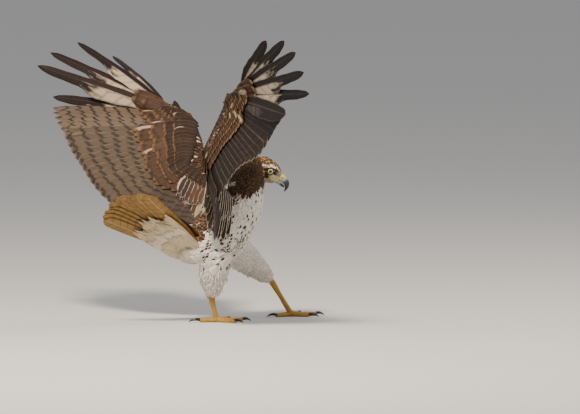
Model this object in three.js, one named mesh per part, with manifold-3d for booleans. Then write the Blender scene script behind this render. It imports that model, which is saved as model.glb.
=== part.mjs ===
// A young red-tailed hawk, life-size, striding with raised wings and a cocked, fanned tail.
// Millimetres. +X is where the body faces, +Y is the bird's left, +Z is up, and the feet stand at z = 0.
import * as THREE from 'three';
import { mergeVertices } from 'three/addons/utils/BufferGeometryUtils.js';
import Module from 'manifold-3d';

const wasm = await Module();
wasm.setup();

const GAP = 0.3;                    // clearance between neighbouring pieces
const RAD = Math.PI / 180;
const LEFT = 1, RIGHT = -1;

// Trunk: stations from the rump to the top of the neck, with half depth and half width across the spine.
const TRUNK = [
  { x: -90, z: 152, deep: 10, wide: 20 },
  { x: -78, z: 148, deep: 24, wide: 33 },
  { x: -52, z: 152, deep: 35, wide: 44 },
  { x: -20, z: 168, deep: 49, wide: 53 },
  { x: 12, z: 194, deep: 58, wide: 58 },
  { x: 38, z: 230, deep: 58, wide: 57 },
  { x: 56, z: 264, deep: 50, wide: 48 },
  { x: 72, z: 292, deep: 37, wide: 37 },
  { x: 88, z: 315, deep: 29, wide: 29 },
  { x: 100, z: 326, deep: 16, wide: 18 },
];
const NECK_CUT = { x: 66, z: 280, lean: 50 };     // the plane where neck and torso part

// Head: turned to the bird's right and pitched down, with stations along its own axis.
const HEAD_YAW = -30 * RAD, HEAD_PITCH = 25 * RAD;
const HEAD_CENTRE = new THREE.Vector3(117, -8, 309);
const HEAD = [
  { at: -36, rise: 1, tall: 7, wide: 7 },
  { at: -31, rise: 1, tall: 18, wide: 17 },
  { at: -20, rise: -1, tall: 25, wide: 23.5 },
  { at: -6, rise: -3, tall: 25, wide: 25 },
  { at: 7, rise: -4.5, tall: 23, wide: 23 },
  { at: 18, rise: -6, tall: 18.5, wide: 17.5 },
  { at: 26, rise: -7.5, tall: 14, wide: 12 },
  { at: 29, rise: -8, tall: 11, wide: 9 },
];
const EYE = { at: 2, rise: -0.8, out: 18.7, radius: 7.6 };
const LID = { radius: 7.2, thick: 1.3, out: 22.7, lean: 0.22 };
// Brow and mouth line: along the head, out, rise and radius.
const BROW = [[-10, 19, 7.4, 2.4], [0, 21.4, 9, 3.2], [10, 19.2, 7.4, 3], [19, 14, 4, 2]];
const MOUTH = [[6, 21.6, -15, 0.5], [14, 18.8, -14, 1.2], [22, 13.9, -13, 1.2], [29, 9.2, -12.6, 1.2]];
const NOSTRIL = { at: 31.5, out: 8.2, rise: -3.4, radius: 1.5 };
const UPPER_BILL = [
  { at: 24.5, rise: -4.5, tall: 8.2, wide: 8.4 },
  { at: 30, rise: -4.6, tall: 7.8, wide: 8 },
  { at: 36, rise: -5.6, tall: 7.2, wide: 7 },
  { at: 42, rise: -8.4, tall: 6.2, wide: 5.6 },
  { at: 46.2, rise: -13.6, tall: 4.8, wide: 4 },
  { at: 47.6, rise: -19.5, tall: 3, wide: 2.6 },
  { at: 47, rise: -25, tall: 1.4, wide: 1.2 },
  { at: 46.2, rise: -28, tall: 0.45, wide: 0.4 },
];
const LOWER_BILL = [
  { at: 23, rise: -16.4, tall: 3.4, wide: 6.6 },
  { at: 30, rise: -16.8, tall: 3.2, wide: 5.8 },
  { at: 37, rise: -17.8, tall: 2.8, wide: 4.6 },
  { at: 41.5, rise: -19, tall: 1.7, wide: 3 },
  { at: 43.5, rise: -19.4, tall: 0.6, wide: 1.4 },
];

// Wings: joints of each arm, the front edge of the arm's skin, and the key feathers.
// sweep turns a feather from straight out towards the tail and lift raises it, in degrees.
const WINGS = [
  {
    name: 'wing_left', side: LEFT,
    shoulder: [0, 40, 262], elbow: [-16, 133, 296], wrist: [33, 192, 388], handSweep: 6, handLift: 30,
    front: [[28, 44, 272], [34, 112, 318], [47, 170, 362], [44, 200, 396]],
    keys: [
      ['P10', 5, 26, 216], ['P9', 19, 27, 280], ['P8', 29, 21, 310], ['P7', 34, 16, 323], ['P6', 33, 6, 283],
      ['P5', 42, 3, 268], ['P3', 56, 2, 258], ['P1', 60, -1, 257], ['S3', 60, -7, 235], ['S6', 60, -11, 210],
      ['S9', 57, -18, 190], ['S12', 60, -28, 156], ['T2', 85, -41, 114], ['T5', 105, -52, 84],
    ],
  },
  {
    name: 'wing_right', side: RIGHT,
    shoulder: [0, -40, 262], elbow: [-71, -82, 339], wrist: [-25, -106, 447], handSweep: 16, handLift: 36,
    front: [[-20, -46, 290], [-70, -86, 350], [-44, -100, 410], [-22, -112, 462]],
    keys: [
      ['P10', 14, 29, 219], ['P9', 9, 24, 279], ['P8', 7, 18, 312], ['P7', 5, 11, 323], ['P6', 2, 4, 313],
      ['P5', 8, -4, 268], ['P3', 10, -6, 247], ['P1', 10, -11, 235], ['S3', 13, -19, 222],
      ['S6', 17, -15, 207], ['S9', 20, -16, 195], ['S12', 22, -23, 180], ['T2', 28, -30, 165],
      ['T5', 40, -36, 148],
    ],
  },
];
const PRIMARIES = 10, SECONDARIES = 13, TERTIALS = 5;
const HAND_LENGTH = 82;
const TERTIAL_SPACING = 0.18;       // as a share of the way from elbow to shoulder
const FINGERS = 5;                  // notched outer primaries
const CAMBER = 5;                   // how far a feather arches
const SMOOTHING = 3;                // passes that even out the row between its key feathers

// Tail: twelve feathers fanned about a rolled axis.
const TAIL_ROOT = new THREE.Vector3(-52, 0, 152);
const TAIL_SWING = 3 * RAD, TAIL_LIFT = 29 * RAD, TAIL_ROLL = 31 * RAD, TAIL_FAN = 26 * RAD;
const TAIL_LENGTH = 228;
const RECTRICES = 12;
const TAIL_ROUND = 0.08;            // how much shorter the outermost feather is

// Legs: hip, heel and foot of each, and the feathered shank.
const LEGS = [
  { name: 'left', side: LEFT, hip: [26, 34, 168], heel: [150, 46, 80], foot: [202, 52, 8], turn: -6 },
  { name: 'right', side: RIGHT, hip: [-20, -26, 150], heel: [-22, -12, 52], foot: [-8, -8, 8], turn: -14 },
];
const TOES = [
  { digit: 1, turn: 172, length: 34, thick: 5.2, claw: 24 },
  { digit: 2, turn: 42, length: 40, thick: 5.4, claw: 22 },
  { digit: 3, turn: 2, length: 56, thick: 5.2, claw: 19 },
  { digit: 4, turn: -44, length: 45, thick: 4.6, claw: 16 },
];

const SOLE = 0.9;                   // how deep the pads are pressed flat
// Thigh from hip to heel and shank from heel to foot: share of the way and radius.
const THIGH = [[0, 38], [0.3, 34], [0.6, 27], [0.85, 18], [1.02, 9]];
const SHANK = [[0, 5.5], [0.1, 6.5], [0.5, 4.8], [1, 5.6]];
const SHANK_START = 0.08;           // how far the shank starts inside the thigh, as a share of it
// Toe from foot to tip: share of the way, share of the toe's thickness. Claw beyond the tip: share of its
// length, height and radius.
const TOE = [[0, 1], [0.35, 1], [0.7, 0.95], [1, 0.85]];
const TOE_ROOT_EXTRA = 1.8, TOE_BACK = 3, CLAW_BACK = 4;
const CLAW = [[0.35, 6.4, 3], [0.75, 4.4, 1.8], [1, 0.9, 0.45]];
const CLAW_ROOT_HEIGHT = 4.6, CLAW_ROOT_RADIUS = 3.4;

const vec = (list) => new THREE.Vector3(...list);
const mix = THREE.MathUtils.lerp;

// Turns triangles into one closed solid.
function solidOf(geometry) {
  const bare = geometry.clone();
  bare.deleteAttribute('normal');
  bare.deleteAttribute('uv');
  const merged = mergeVertices(bare, 1e-4);
  return new wasm.Manifold(new wasm.Mesh({
    numProp: 3,
    vertProperties: new Float32Array(merged.attributes.position.array),
    triVerts: new Uint32Array(merged.index.array),
  }));
}

// Keeps the largest closed piece of a solid.
function largest(solid) {
  return solid.decompose().sort((a, b) => b.volume() - a.volume())[0];
}

function geometryOf(solid) {
  const mesh = solid.getMesh();
  const geometry = new THREE.BufferGeometry();
  const points = new Float32Array(mesh.numVert * 3);
  for (let i = 0; i < mesh.numVert; i++) {
    for (let k = 0; k < 3; k++) points[3 * i + k] = mesh.vertProperties[mesh.numProp * i + k];
  }
  geometry.setAttribute('position', new THREE.BufferAttribute(points, 3));
  geometry.setIndex(new THREE.BufferAttribute(new Uint32Array(mesh.triVerts), 1));
  return geometry;
}

const union = (solids) => wasm.Manifold.union(solids);

// A closed tube whose rings follow the given points. Each ring has a centre, two half axes and radii.
function loft(rings, sides) {
  const geometry = new THREE.CylinderGeometry(1, 1, 1, sides, rings.length - 1, false);
  const place = geometry.attributes.position;
  for (let i = 0; i < place.count; i++) {
    const along = Math.round((0.5 - place.getY(i)) * (rings.length - 1));
    const ring = rings[along];
    const point = ring.centre.clone()
      .addScaledVector(ring.across, place.getX(i) * ring.wide)
      .addScaledVector(ring.up, place.getZ(i) * ring.tall);
    place.setXYZ(i, point.x, point.y, point.z);
  }
  const solid = solidOf(geometry);
  return solid.volume() > 0 ? solid : solidOf(flipped(geometry));
}

function flipped(geometry) {
  const index = geometry.index;
  for (let i = 0; i < index.count; i += 3) {
    const first = index.getX(i);
    index.setX(i, index.getX(i + 1));
    index.setX(i + 1, first);
  }
  return geometry;
}

// Rings along a smooth curve through centres. hint is the direction that each ring's width leans to.
function ringsAlong(stations, hint, steps) {
  const curve = new THREE.CatmullRomCurve3(stations.map((s) => s.centre), false, 'centripetal');
  const rings = [];
  for (let i = 0; i <= steps; i++) {
    const t = i / steps;
    const spot = t * (stations.length - 1);
    const k = Math.min(Math.floor(spot), stations.length - 2);
    const ease = spot - k;
    const along = curve.getTangent(t);
    const across = hint.clone().addScaledVector(along, -hint.dot(along)).normalize();
    rings.push({
      centre: curve.getPoint(t), across, up: new THREE.Vector3().crossVectors(along, across),
      wide: mix(stations[k].wide, stations[k + 1].wide, ease),
      tall: mix(stations[k].tall, stations[k + 1].tall, ease),
    });
  }
  return rings;
}

// Trunk and neck are one loft, parted by a slanted plane.
function trunkSolid(grow) {
  const stations = TRUNK.map((s, i) => ({
    centre: new THREE.Vector3(s.x - (i === 0 ? grow : 0), 0, s.z), wide: s.wide + grow, tall: s.deep + grow,
  }));
  return loft(ringsAlong(stations, new THREE.Vector3(0, 1, 0), 16), 20);
}

// The half space ahead of a slanted plane, as a big box.
function ahead(plane, offset) {
  const box = new THREE.BoxGeometry(600, 600, 600);
  box.translate(300 + offset, 0, 0);
  box.rotateY(-plane.lean * RAD);
  box.translate(plane.x, 0, plane.z);
  return solidOf(box);
}

// Head axes in the bird's frame.
const headTurn = new THREE.Euler(0, HEAD_PITCH, HEAD_YAW, 'ZYX');
const HEAD_ALONG = new THREE.Vector3(1, 0, 0).applyEuler(headTurn);
const HEAD_LEFT = new THREE.Vector3(0, 1, 0).applyEuler(headTurn);
const HEAD_UP = new THREE.Vector3(0, 0, 1).applyEuler(headTurn);
const onHead = (at, out, rise) => HEAD_CENTRE.clone()
  .addScaledVector(HEAD_ALONG, at).addScaledVector(HEAD_LEFT, out).addScaledVector(HEAD_UP, rise);

function headLoft(stations, grow, steps, sides) {
  const rings = stations.map((s) => ({
    centre: onHead(s.at, 0, s.rise), wide: s.wide + grow, tall: s.tall + grow,
  }));
  return loft(ringsAlong(rings, HEAD_LEFT, steps), sides);
}

function eyeSolid(side, grow) {
  const ball = new THREE.SphereGeometry(EYE.radius + grow, 10, 7);
  const place = onHead(EYE.at, side * EYE.out, EYE.rise);
  ball.translate(place.x, place.y, place.z);
  return solidOf(ball);
}

// A ring of lid round each eye and a brow that juts over it.
function faceRidges(side) {
  const lid = new THREE.TorusGeometry(LID.radius, LID.thick, 4, 10);
  const outward = HEAD_LEFT.clone().multiplyScalar(side).addScaledVector(HEAD_ALONG, LID.lean).normalize();
  lid.applyQuaternion(new THREE.Quaternion().setFromUnitVectors(new THREE.Vector3(0, 0, 1), outward));
  const place = onHead(EYE.at, side * LID.out, EYE.rise);
  lid.translate(place.x, place.y, place.z);
  const brow = BROW.map(([at, out, rise]) => onHead(at, side * out, rise));
  return [solidOf(lid), limb(brow, BROW.map((point) => point[3]), 6, 6, HEAD_UP)];
}

// The mouth line, a groove from the corner of the mouth to the bill on each cheek.
function mouthLine(side) {
  const points = MOUTH.map(([at, out, rise]) => onHead(at, side * out, rise));
  return limb(points, MOUTH.map((point) => point[3]), 4, 5);
}

function nostril(side) {
  const hole = new THREE.SphereGeometry(NOSTRIL.radius, 6, 5);
  const place = onHead(NOSTRIL.at, side * NOSTRIL.out, NOSTRIL.rise);
  hole.translate(place.x, place.y, place.z);
  return solidOf(hole);
}

// A wing's feather rows: the root line runs from the hand's tip over wrist and elbow to the shoulder.
function wingRows(wing) {
  const shoulder = vec(wing.shoulder), elbow = vec(wing.elbow), wrist = vec(wing.wrist);
  const hand = direction(wing.handSweep, wing.handLift, wing.side);
  const order = (label) => {
    const n = Number(label.slice(1));
    if (label[0] === 'P') return PRIMARIES - n;
    return label[0] === 'S' ? PRIMARIES + n - 1 : PRIMARIES + SECONDARIES + n - 1;
  };
  const count = PRIMARIES + SECONDARIES + TERTIALS;
  // Sweep, lift and length run evenly between the key feathers, and are then smoothed over neighbours.
  let aims = [];
  for (let i = 0; i < count; i++) {
    const next = wing.keys.findIndex((key) => order(key[0]) >= i);
    const b = wing.keys[next], a = wing.keys[Math.max(0, next - 1)];
    const span = order(b[0]) - order(a[0]);
    const t = span > 0 ? (i - order(a[0])) / span : 0;
    aims.push([1, 2, 3].map((k) => mix(a[k], b[k], t)));
  }
  for (let pass = 0; pass < SMOOTHING; pass++) {
    aims = aims.map((aim, i) => aim.map((value, k) => {
      if (i <= FINGERS || i === count - 1) return value;
      return (aims[i - 1][k] + 2 * value + aims[i + 1][k]) / 4;
    }));
  }
  return aims.map(([sweep, lift, length], i) => {
    let root;
    if (i < PRIMARIES) {
      root = wrist.clone().addScaledVector(hand, HAND_LENGTH * (PRIMARIES - i - 0.5) / PRIMARIES);
    } else if (i < PRIMARIES + SECONDARIES) {
      root = wrist.clone().lerp(elbow, (i - PRIMARIES + 0.5) / SECONDARIES);
    } else root = elbow.clone().lerp(shoulder, TERTIAL_SPACING * (i - PRIMARIES - SECONDARIES + 0.7));
    return { root, out: direction(sweep, lift, wing.side), length };
  });
}

function direction(sweep, lift, side) {
  const s = sweep * RAD, l = lift * RAD;
  return new THREE.Vector3(-Math.sin(s) * Math.cos(l), side * Math.cos(s) * Math.cos(l), Math.sin(l));
}

// One closed vane through stations, each with a middle, a width direction, a normal and half widths.
// Both faces are split along the same diagonals.
function vaneSolid(stations) {
  const points = [], index = [];
  for (const s of stations) {
    for (const [wide, high] of [[-s.outer, 1], [s.inner, 1], [s.inner, -1], [-s.outer, -1]]) {
      const point = s.middle.clone().addScaledVector(s.across, wide);
      point.addScaledVector(s.normal, high * s.thick / 2);
      points.push(point.x, point.y, point.z);
    }
  }
  const quad = (a, b, c, d) => index.push(a, b, c, a, c, d);
  for (let j = 0; j < stations.length - 1; j++) {
    const a = 4 * j, b = a + 4;
    quad(a, a + 1, b + 1, b);
    quad(a + 3, b + 3, b + 2, a + 2);
    quad(a + 1, a + 2, b + 2, b + 1);
    quad(a, b, b + 3, a + 3);
  }
  const last = 4 * (stations.length - 1);
  quad(0, 3, 2, 1);
  quad(last, last + 1, last + 2, last + 3);
  const geometry = new THREE.BufferGeometry();
  geometry.setAttribute('position', new THREE.BufferAttribute(new Float32Array(points), 3));
  geometry.setIndex(index);
  const solid = solidOf(geometry);
  return solid.volume() > 0 ? solid : solidOf(flipped(geometry));
}

// Half widths of a vane along its length: [share of length, outer half, inner half, thickness].
const VANES = {
  finger: [[0, 3, 3, 1.2], [0.3, 12, 20, 0.9], [0.56, 11, 25, 0.8], [0.66, 9, 12, 0.8], [0.92, 7, 9, 0.7],
    [1, 2, 2.5, 0.5]],
  primary: [[0, 3, 3, 1.2], [0.3, 15, 22, 0.9], [0.66, 15, 24, 0.8], [0.92, 11, 17, 0.7], [1, 3, 5, 0.5]],
  secondary: [[0, 3, 3, 1.2], [0.3, 18, 22, 0.9], [0.85, 20, 24, 0.7], [0.96, 14, 17, 0.7], [1, 5, 7, 0.5]],
  covert: [[0, 3, 3, 1.2], [0.35, 13, 14, 0.8], [0.82, 14, 15, 0.7], [1, 4, 5, 0.5]],
  median: [[0, 4, 4, 1.2], [0.4, 18, 19, 0.8], [0.8, 18, 19, 0.7], [1, 5, 6, 0.5]],
  alula: [[0, 3, 3, 1.6], [0.3, 8, 9, 1], [0.8, 7, 8, 0.9], [1, 1.5, 2, 0.6]],
  rectrix: [[0, 3, 3, 1.3], [0.2, 11, 11, 1], [0.6, 19, 19, 1], [0.93, 22, 22, 0.9], [1, 8, 8, 0.6]],
};
const STEP_UP = 1.8;                // how far each vane lies over the next
const STEEPEST_TILT = 0.22;
const OUTER_REACH = 0.72, INNER_REACH = 0.85;   // half widths as shares of the space between shafts
// Two tiers of coverts over the row: the first feather, how many between two, how far they reach on the
// hand and on the arm as shares of the feather below, how far they start ahead, and their rise.
const TIERS = [
  { form: 'covert', first: 3, step: 2, hand: 0.36, arm: 0.46, back: 12, rise: 5.8 },
  { form: 'median', first: 5, step: 3, hand: 0.22, arm: 0.3, back: 24, rise: 9.6 },
];
const ALULA = { count: 3, ahead: 4, length: 86, shorter: 12, lean: 0.3, leanStep: 0.1, step: 1.6 };
const ARM_REAR = 0.15;              // where the arm's rear edge starts between shoulder and elbow
const ARM_TALL = [13, 10, 7.5, 5.5, 3];
const ARM_MARGIN = 5, HAND_MIDDLE = 45, HAND_MARGIN = 6, HAND_TIP_HALF = 4, ARM_STEPS = 8;

const pointOn = (f, t) => f.root.clone().addScaledVector(f.out, f.length * t);

// The vane of one feather in a row, tilted so that it lies over its outer neighbour.
function rowVane(wing, row, i, form, options = {}) {
  const { reach = 1, back = 0, rise = 0, spacingShare = 1 } = options;
  const f = row[i];
  const before = row[Math.max(0, i - 1)], after = row[Math.min(row.length - 1, i + 1)];
  const spans = Math.min(row.length - 1, i + 1) - Math.max(0, i - 1);
  const stations = VANES[form].map(([share, outer, inner, thick]) => {
    const t = (share * reach * f.length - back) / f.length;
    const seen = Math.max(0, t);
    const inward = pointOn(after, seen).sub(pointOn(before, seen));
    inward.addScaledVector(f.out, -inward.dot(f.out));
    const spacing = inward.length() / spans;
    inward.normalize();
    const dorsal = new THREE.Vector3().crossVectors(f.out, inward).multiplyScalar(wing.side);
    const tilt = Math.min(STEEPEST_TILT, STEP_UP / (spacing * spacingShare));
    const across = inward.clone().addScaledVector(dorsal, -tilt).normalize();
    const normal = dorsal.clone().addScaledVector(inward, tilt).normalize();
    const lift = rise * Math.min(1, 0.45 + share * 1.9) + CAMBER * Math.sin(Math.PI * seen);
    const middle = pointOn(f, t).addScaledVector(dorsal, lift);
    const room = spacing * spacingShare;
    const outerHalf = Math.min(outer, OUTER_REACH * room), innerHalf = Math.min(inner, INNER_REACH * room);
    return { middle, across, normal, outer: outerHalf, inner: innerHalf, thick };
  });
  return vaneSolid(stations);
}

function wingSolid(wing) {
  const row = wingRows(wing);
  const pieces = [armSolid(wing)];
  row.forEach((f, i) => {
    const form = i < FINGERS ? 'finger' : i < PRIMARIES ? 'primary' : 'secondary';
    pieces.push(rowVane(wing, row, i, form));
  });
  for (const tier of TIERS) {
    const end = row.length - (tier.form === 'median' ? 2 : 0);
    for (let i = tier.first; i < end; i += tier.step) {
      const reach = i < PRIMARIES ? tier.hand : tier.arm;
      const options = { reach, back: tier.back, rise: tier.rise, spacingShare: tier.step };
      pieces.push(rowVane(wing, row, i, tier.form, options));
    }
  }
  return union([...pieces, ...alulaSolids(wing)]);
}

// The thumb's small feathers, along the front of the hand.
function alulaSolids(wing) {
  const wrist = vec(wing.wrist), hand = direction(wing.handSweep, wing.handLift, wing.side);
  const lead = vec(wing.front[3]).sub(wrist);
  lead.addScaledVector(hand, -lead.dot(hand)).normalize();
  const dorsal = new THREE.Vector3().crossVectors(hand, lead).multiplyScalar(-wing.side);
  return Array.from({ length: ALULA.count }, (none, k) => {
    const out = hand.clone().addScaledVector(lead, ALULA.lean - ALULA.leanStep * k).normalize();
    const root = wrist.clone().addScaledVector(hand, ALULA.ahead).addScaledVector(dorsal, ALULA.step * k + 1);
    const across = lead.clone().addScaledVector(out, -lead.dot(out)).normalize().multiplyScalar(-1);
    const reach = ALULA.length - ALULA.shorter * k;
    return vaneSolid(VANES.alula.map(([share, outer, inner, thick]) => (
      { middle: root.clone().addScaledVector(out, share * reach), across, normal: dorsal,
        outer, inner, thick }
    )));
  });
}

// The arm: a flat loft between the front edge and the root line, from shoulder to the hand's tip.
function armSolid(wing) {
  const shoulder = vec(wing.shoulder), elbow = vec(wing.elbow), wrist = vec(wing.wrist);
  const hand = direction(wing.handSweep, wing.handLift, wing.side);
  const rear = [shoulder.clone().lerp(elbow, ARM_REAR), elbow, wrist,
    wrist.clone().addScaledVector(hand, HAND_MIDDLE),
    wrist.clone().addScaledVector(hand, HAND_LENGTH + HAND_MARGIN)];
  const front = wing.front.map(vec);
  const stations = rear.map((back, i) => {
    if (i === front.length) return { centre: back, wide: HAND_TIP_HALF, tall: ARM_TALL[i] };
    const chord = front[i].clone().sub(back);
    return {
      centre: back.clone().lerp(front[i], 0.5), across: chord.clone().normalize(),
      wide: chord.length() / 2 + ARM_MARGIN, tall: ARM_TALL[i],
    };
  });
  const curve = new THREE.CatmullRomCurve3(stations.map((s) => s.centre), false, 'centripetal');
  const rings = [];
  for (let i = 0; i <= ARM_STEPS; i++) {
    const spot = i / ARM_STEPS * (stations.length - 1);
    const k = Math.min(Math.floor(spot), stations.length - 2);
    const a = stations[k], b = stations[k + 1], t = spot - k;
    const along = curve.getTangent(i / ARM_STEPS);
    const lean = b.across ? a.across.clone().lerp(b.across, t) : a.across.clone();
    lean.addScaledVector(along, -lean.dot(along)).normalize();
    rings.push({
      centre: curve.getPoint(i / ARM_STEPS), across: lean, up: new THREE.Vector3().crossVectors(along, lean),
      wide: mix(a.wide, b.wide, t), tall: mix(a.tall, b.tall, t),
    });
  }
  return loft(rings, 8);
}

// Tail axes: along runs to the tips, across runs to the bird's left, rolled.
const TAIL_ALONG = new THREE.Vector3(-Math.cos(TAIL_SWING), -Math.sin(TAIL_SWING), Math.tan(TAIL_LIFT))
  .normalize();
const TAIL_ACROSS = new THREE.Vector3(-Math.sin(TAIL_SWING), Math.cos(TAIL_SWING), 0)
  .applyAxisAngle(TAIL_ALONG, TAIL_ROLL);
const TAIL_TOP = new THREE.Vector3().crossVectors(TAIL_ALONG, TAIL_ACROSS).multiplyScalar(-1);

// Layers of the tail: how many vanes, the fan's angle, their length, how far apart the roots are, the height
// over the tail's own plane and how far each vane lies under the next.
const TAIL_LAYERS = [
  { form: 'rectrix', count: RECTRICES, fan: TAIL_FAN, length: TAIL_LENGTH, spread: 34, level: 2, step: 1.5 },
  { form: 'covert', count: 5, fan: 0.42, length: 118, spread: 36, level: 9, step: 1.5 },
  { form: 'covert', count: 6, fan: 0.44, length: 140, spread: 38, level: -11, step: 1.4 },
];
// The fleshy root: along the tail, over its plane, half width and half depth.
const TAIL_CORE = [[-6, -4, 24, 15], [22, -5, 27, 16], [50, -5, 29, 12], [78, -4, 28, 6], [92, -3, 20, 2.5]];

// A fan of flat vanes about the tail's root. The middle ones lie over the outer ones.
function tailFan({ count, fan, length, spread, level, step, form }) {
  const vanes = [];
  for (let i = 0; i < count; i++) {
    const t = i / (count - 1) - 0.5;
    const rank = Math.floor(Math.abs(i - (count - 1) / 2));
    const height = level - step * rank - (t < 0 ? step : 0);
    const out = TAIL_ALONG.clone().multiplyScalar(Math.cos(t * fan));
    out.addScaledVector(TAIL_ACROSS, Math.sin(t * fan));
    const across = new THREE.Vector3().crossVectors(TAIL_TOP, out);
    const root = TAIL_ROOT.clone().addScaledVector(TAIL_ACROSS, t * spread).addScaledVector(TAIL_TOP, height);
    const reach = length * (1 - TAIL_ROUND * 4 * t * t);
    const stations = VANES[form].map(([share, outer, inner, thick]) => (
      { middle: root.clone().addScaledVector(out, share * reach), across, normal: TAIL_TOP,
        outer, inner, thick }
    ));
    vanes.push(vaneSolid(stations));
  }
  return vanes;
}

function tailCore() {
  const stations = TAIL_CORE.map(([along, top, wide, tall]) => ({
    centre: TAIL_ROOT.clone().addScaledVector(TAIL_ALONG, along).addScaledVector(TAIL_TOP, top), wide, tall,
  }));
  return loft(ringsAlong(stations, TAIL_ACROSS, 8), 12);
}

const tailSolid = () => union([tailCore(), ...TAIL_LAYERS.flatMap(tailFan)]);

// Legs.
function limb(points, radii, steps, sides, hint = new THREE.Vector3(0, 1, 0)) {
  const stations = points.map((p, i) => ({ centre: p, wide: radii[i], tall: radii[i] }));
  return loft(ringsAlong(stations, hint, steps), sides);
}

function thighSolid(leg, grow) {
  const hip = vec(leg.hip), heel = vec(leg.heel);
  const points = THIGH.map(([share]) => hip.clone().lerp(heel, share));
  return limb(points, THIGH.map(([, radius]) => radius + grow), 8, 14);
}

function shankSolid(leg, grow) {
  const heel = vec(leg.heel), foot = vec(leg.foot);
  const start = heel.clone().lerp(vec(leg.hip), SHANK_START);
  const points = [start, ...SHANK.slice(1).map(([share]) => heel.clone().lerp(foot, share))];
  return limb(points, SHANK.map(([, radius]) => radius + grow), 6, 8);
}

function toeSolids(leg) {
  const foot = vec(leg.foot);
  const toes = [], claws = [];
  for (const toe of TOES) {
    const heading = (leg.turn + leg.side * -toe.turn) * RAD;
    const out = new THREE.Vector3(Math.cos(heading), Math.sin(heading), 0);
    const sideways = new THREE.Vector3(-Math.sin(heading), Math.cos(heading), 0);
    const at = (t, z) => new THREE.Vector3(foot.x, foot.y, 0).addScaledVector(out, t).setZ(z);
    const radii = TOE.map(([share, thick]) => toe.thick * thick + (share ? 0 : TOE_ROOT_EXTRA));
    const points = TOE.map(([share], i) => at(share * toe.length - TOE_BACK * (1 - share), radii[i] - SOLE));
    toes.push(limb(points, radii, 5, 7, sideways));
    const tip = [at(toe.length - CLAW_BACK, CLAW_ROOT_HEIGHT),
      ...CLAW.map(([share, height]) => at(toe.length + share * toe.claw, height))];
    const tipRadii = [CLAW_ROOT_RADIUS, ...CLAW.map(([, , radius]) => radius)];
    claws.push({ digit: toe.digit, solid: limb(tip, tipRadii, 6, 6, sideways) });
  }
  return { toes, claws };
}

// The flat soles: everything below the floor is cut away.
function aboveFloor(solid) {
  const box = new THREE.BoxGeometry(4000, 4000, 200);
  box.translate(0, 0, 100);
  return solid.intersect(solidOf(box));
}

// Assembly. Every piece is cut by its neighbour grown by the gap.
const group = new THREE.Group();
const COLOURS = {
  body: 0xd8cdb8, neck: 0x8a6f55, wing: 0x4a3527, tail: 0xb59668, horn: 0x2b2c30, leg: 0xc9a23c,
  iris: 0xd9c77a,
};

function addNode(name, solid, colour, roughness) {
  const material = new THREE.MeshStandardMaterial({ color: colour, roughness, metalness: 0 });
  const mesh = new THREE.Mesh(geometryOf(largest(solid)), material);
  mesh.name = name;
  group.add(mesh);
  return mesh;
}

const trunk = trunkSolid(0), trunkGrown = trunkSolid(GAP);
const front = ahead(NECK_CUT, GAP / 2), frontGrown = ahead(NECK_CUT, -GAP / 2);
const headBody = headLoft(HEAD, 0, 11, 15), headGrown = headLoft(HEAD, GAP, 11, 15);
const upper = headLoft(UPPER_BILL, 0, 10, 8), upperGrown = headLoft(UPPER_BILL, GAP, 10, 8);
const lower = headLoft(LOWER_BILL, 0, 5, 8), lowerGrown = headLoft(LOWER_BILL, GAP, 5, 8);
const eyes = [LEFT, RIGHT].map((side) => eyeSolid(side, 0));
const eyesGrown = [LEFT, RIGHT].map((side) => eyeSolid(side, GAP));
const wings = WINGS.map((wing) => wingSolid(wing));
const tail = tailSolid();
const thighs = LEGS.map((leg) => thighSolid(leg, 0)), thighsGrown = LEGS.map((leg) => thighSolid(leg, GAP));
const shanks = LEGS.map((leg) => shankSolid(leg, 0)), shanksGrown = LEGS.map((leg) => shankSolid(leg, GAP));

const torso = trunk.subtract(frontGrown);
addNode('torso', torso.subtract(union(thighsGrown)), COLOURS.body, 0.85);
addNode('neck', trunk.intersect(front).subtract(headGrown), COLOURS.neck, 0.85);
const face = union([headBody, ...faceRidges(LEFT), ...faceRidges(RIGHT)]);
const faceCuts = union([upperGrown, lowerGrown, ...eyesGrown, mouthLine(LEFT), mouthLine(RIGHT)]);
addNode('head', face.subtract(faceCuts), COLOURS.neck, 0.8);
addNode('bill_upper', upper.subtract(union([nostril(LEFT), nostril(RIGHT)])), COLOURS.horn, 0.4);
addNode('bill_lower', lower.subtract(upperGrown), COLOURS.horn, 0.4);
addNode('eye_left', eyes[0], COLOURS.iris, 0.2);
addNode('eye_right', eyes[1], COLOURS.iris, 0.2);
WINGS.forEach((wing, i) => {
  addNode(wing.name, wings[i].subtract(trunkGrown).subtract(headGrown), COLOURS.wing, 0.8);
});
addNode('tail', tail.subtract(trunkSolid(2 * GAP)), COLOURS.tail, 0.8);
LEGS.forEach((leg, i) => {
  addNode(`thigh_${leg.name}`, thighs[i].subtract(shanksGrown[i]), COLOURS.body, 0.85);
  const { toes, claws } = toeSolids(leg);
  const foot = aboveFloor(union(toes));
  addNode(`shank_${leg.name}`, shanks[i].subtract(union(toes)), COLOURS.leg, 0.6);
  let footCut = foot;
  for (const claw of claws) footCut = footCut.subtract(claw.solid);
  addNode(`foot_${leg.name}`, footCut, COLOURS.leg, 0.6);
  for (const claw of claws) {
    addNode(`claw_${leg.name}_${claw.digit}`, aboveFloor(claw.solid), COLOURS.horn, 0.35);
  }
});

// The origin is the middle of the box at the floor.
const box = new THREE.Box3().setFromObject(group);
const centre = box.getCenter(new THREE.Vector3());
group.position.set(-centre.x, -centre.y, -box.min.z);

export default group;
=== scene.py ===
import math
import bmesh
import bpy
import numpy as np
from mathutils import Matrix, Vector, noise
from mathutils.bvhtree import BVHTree


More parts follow.
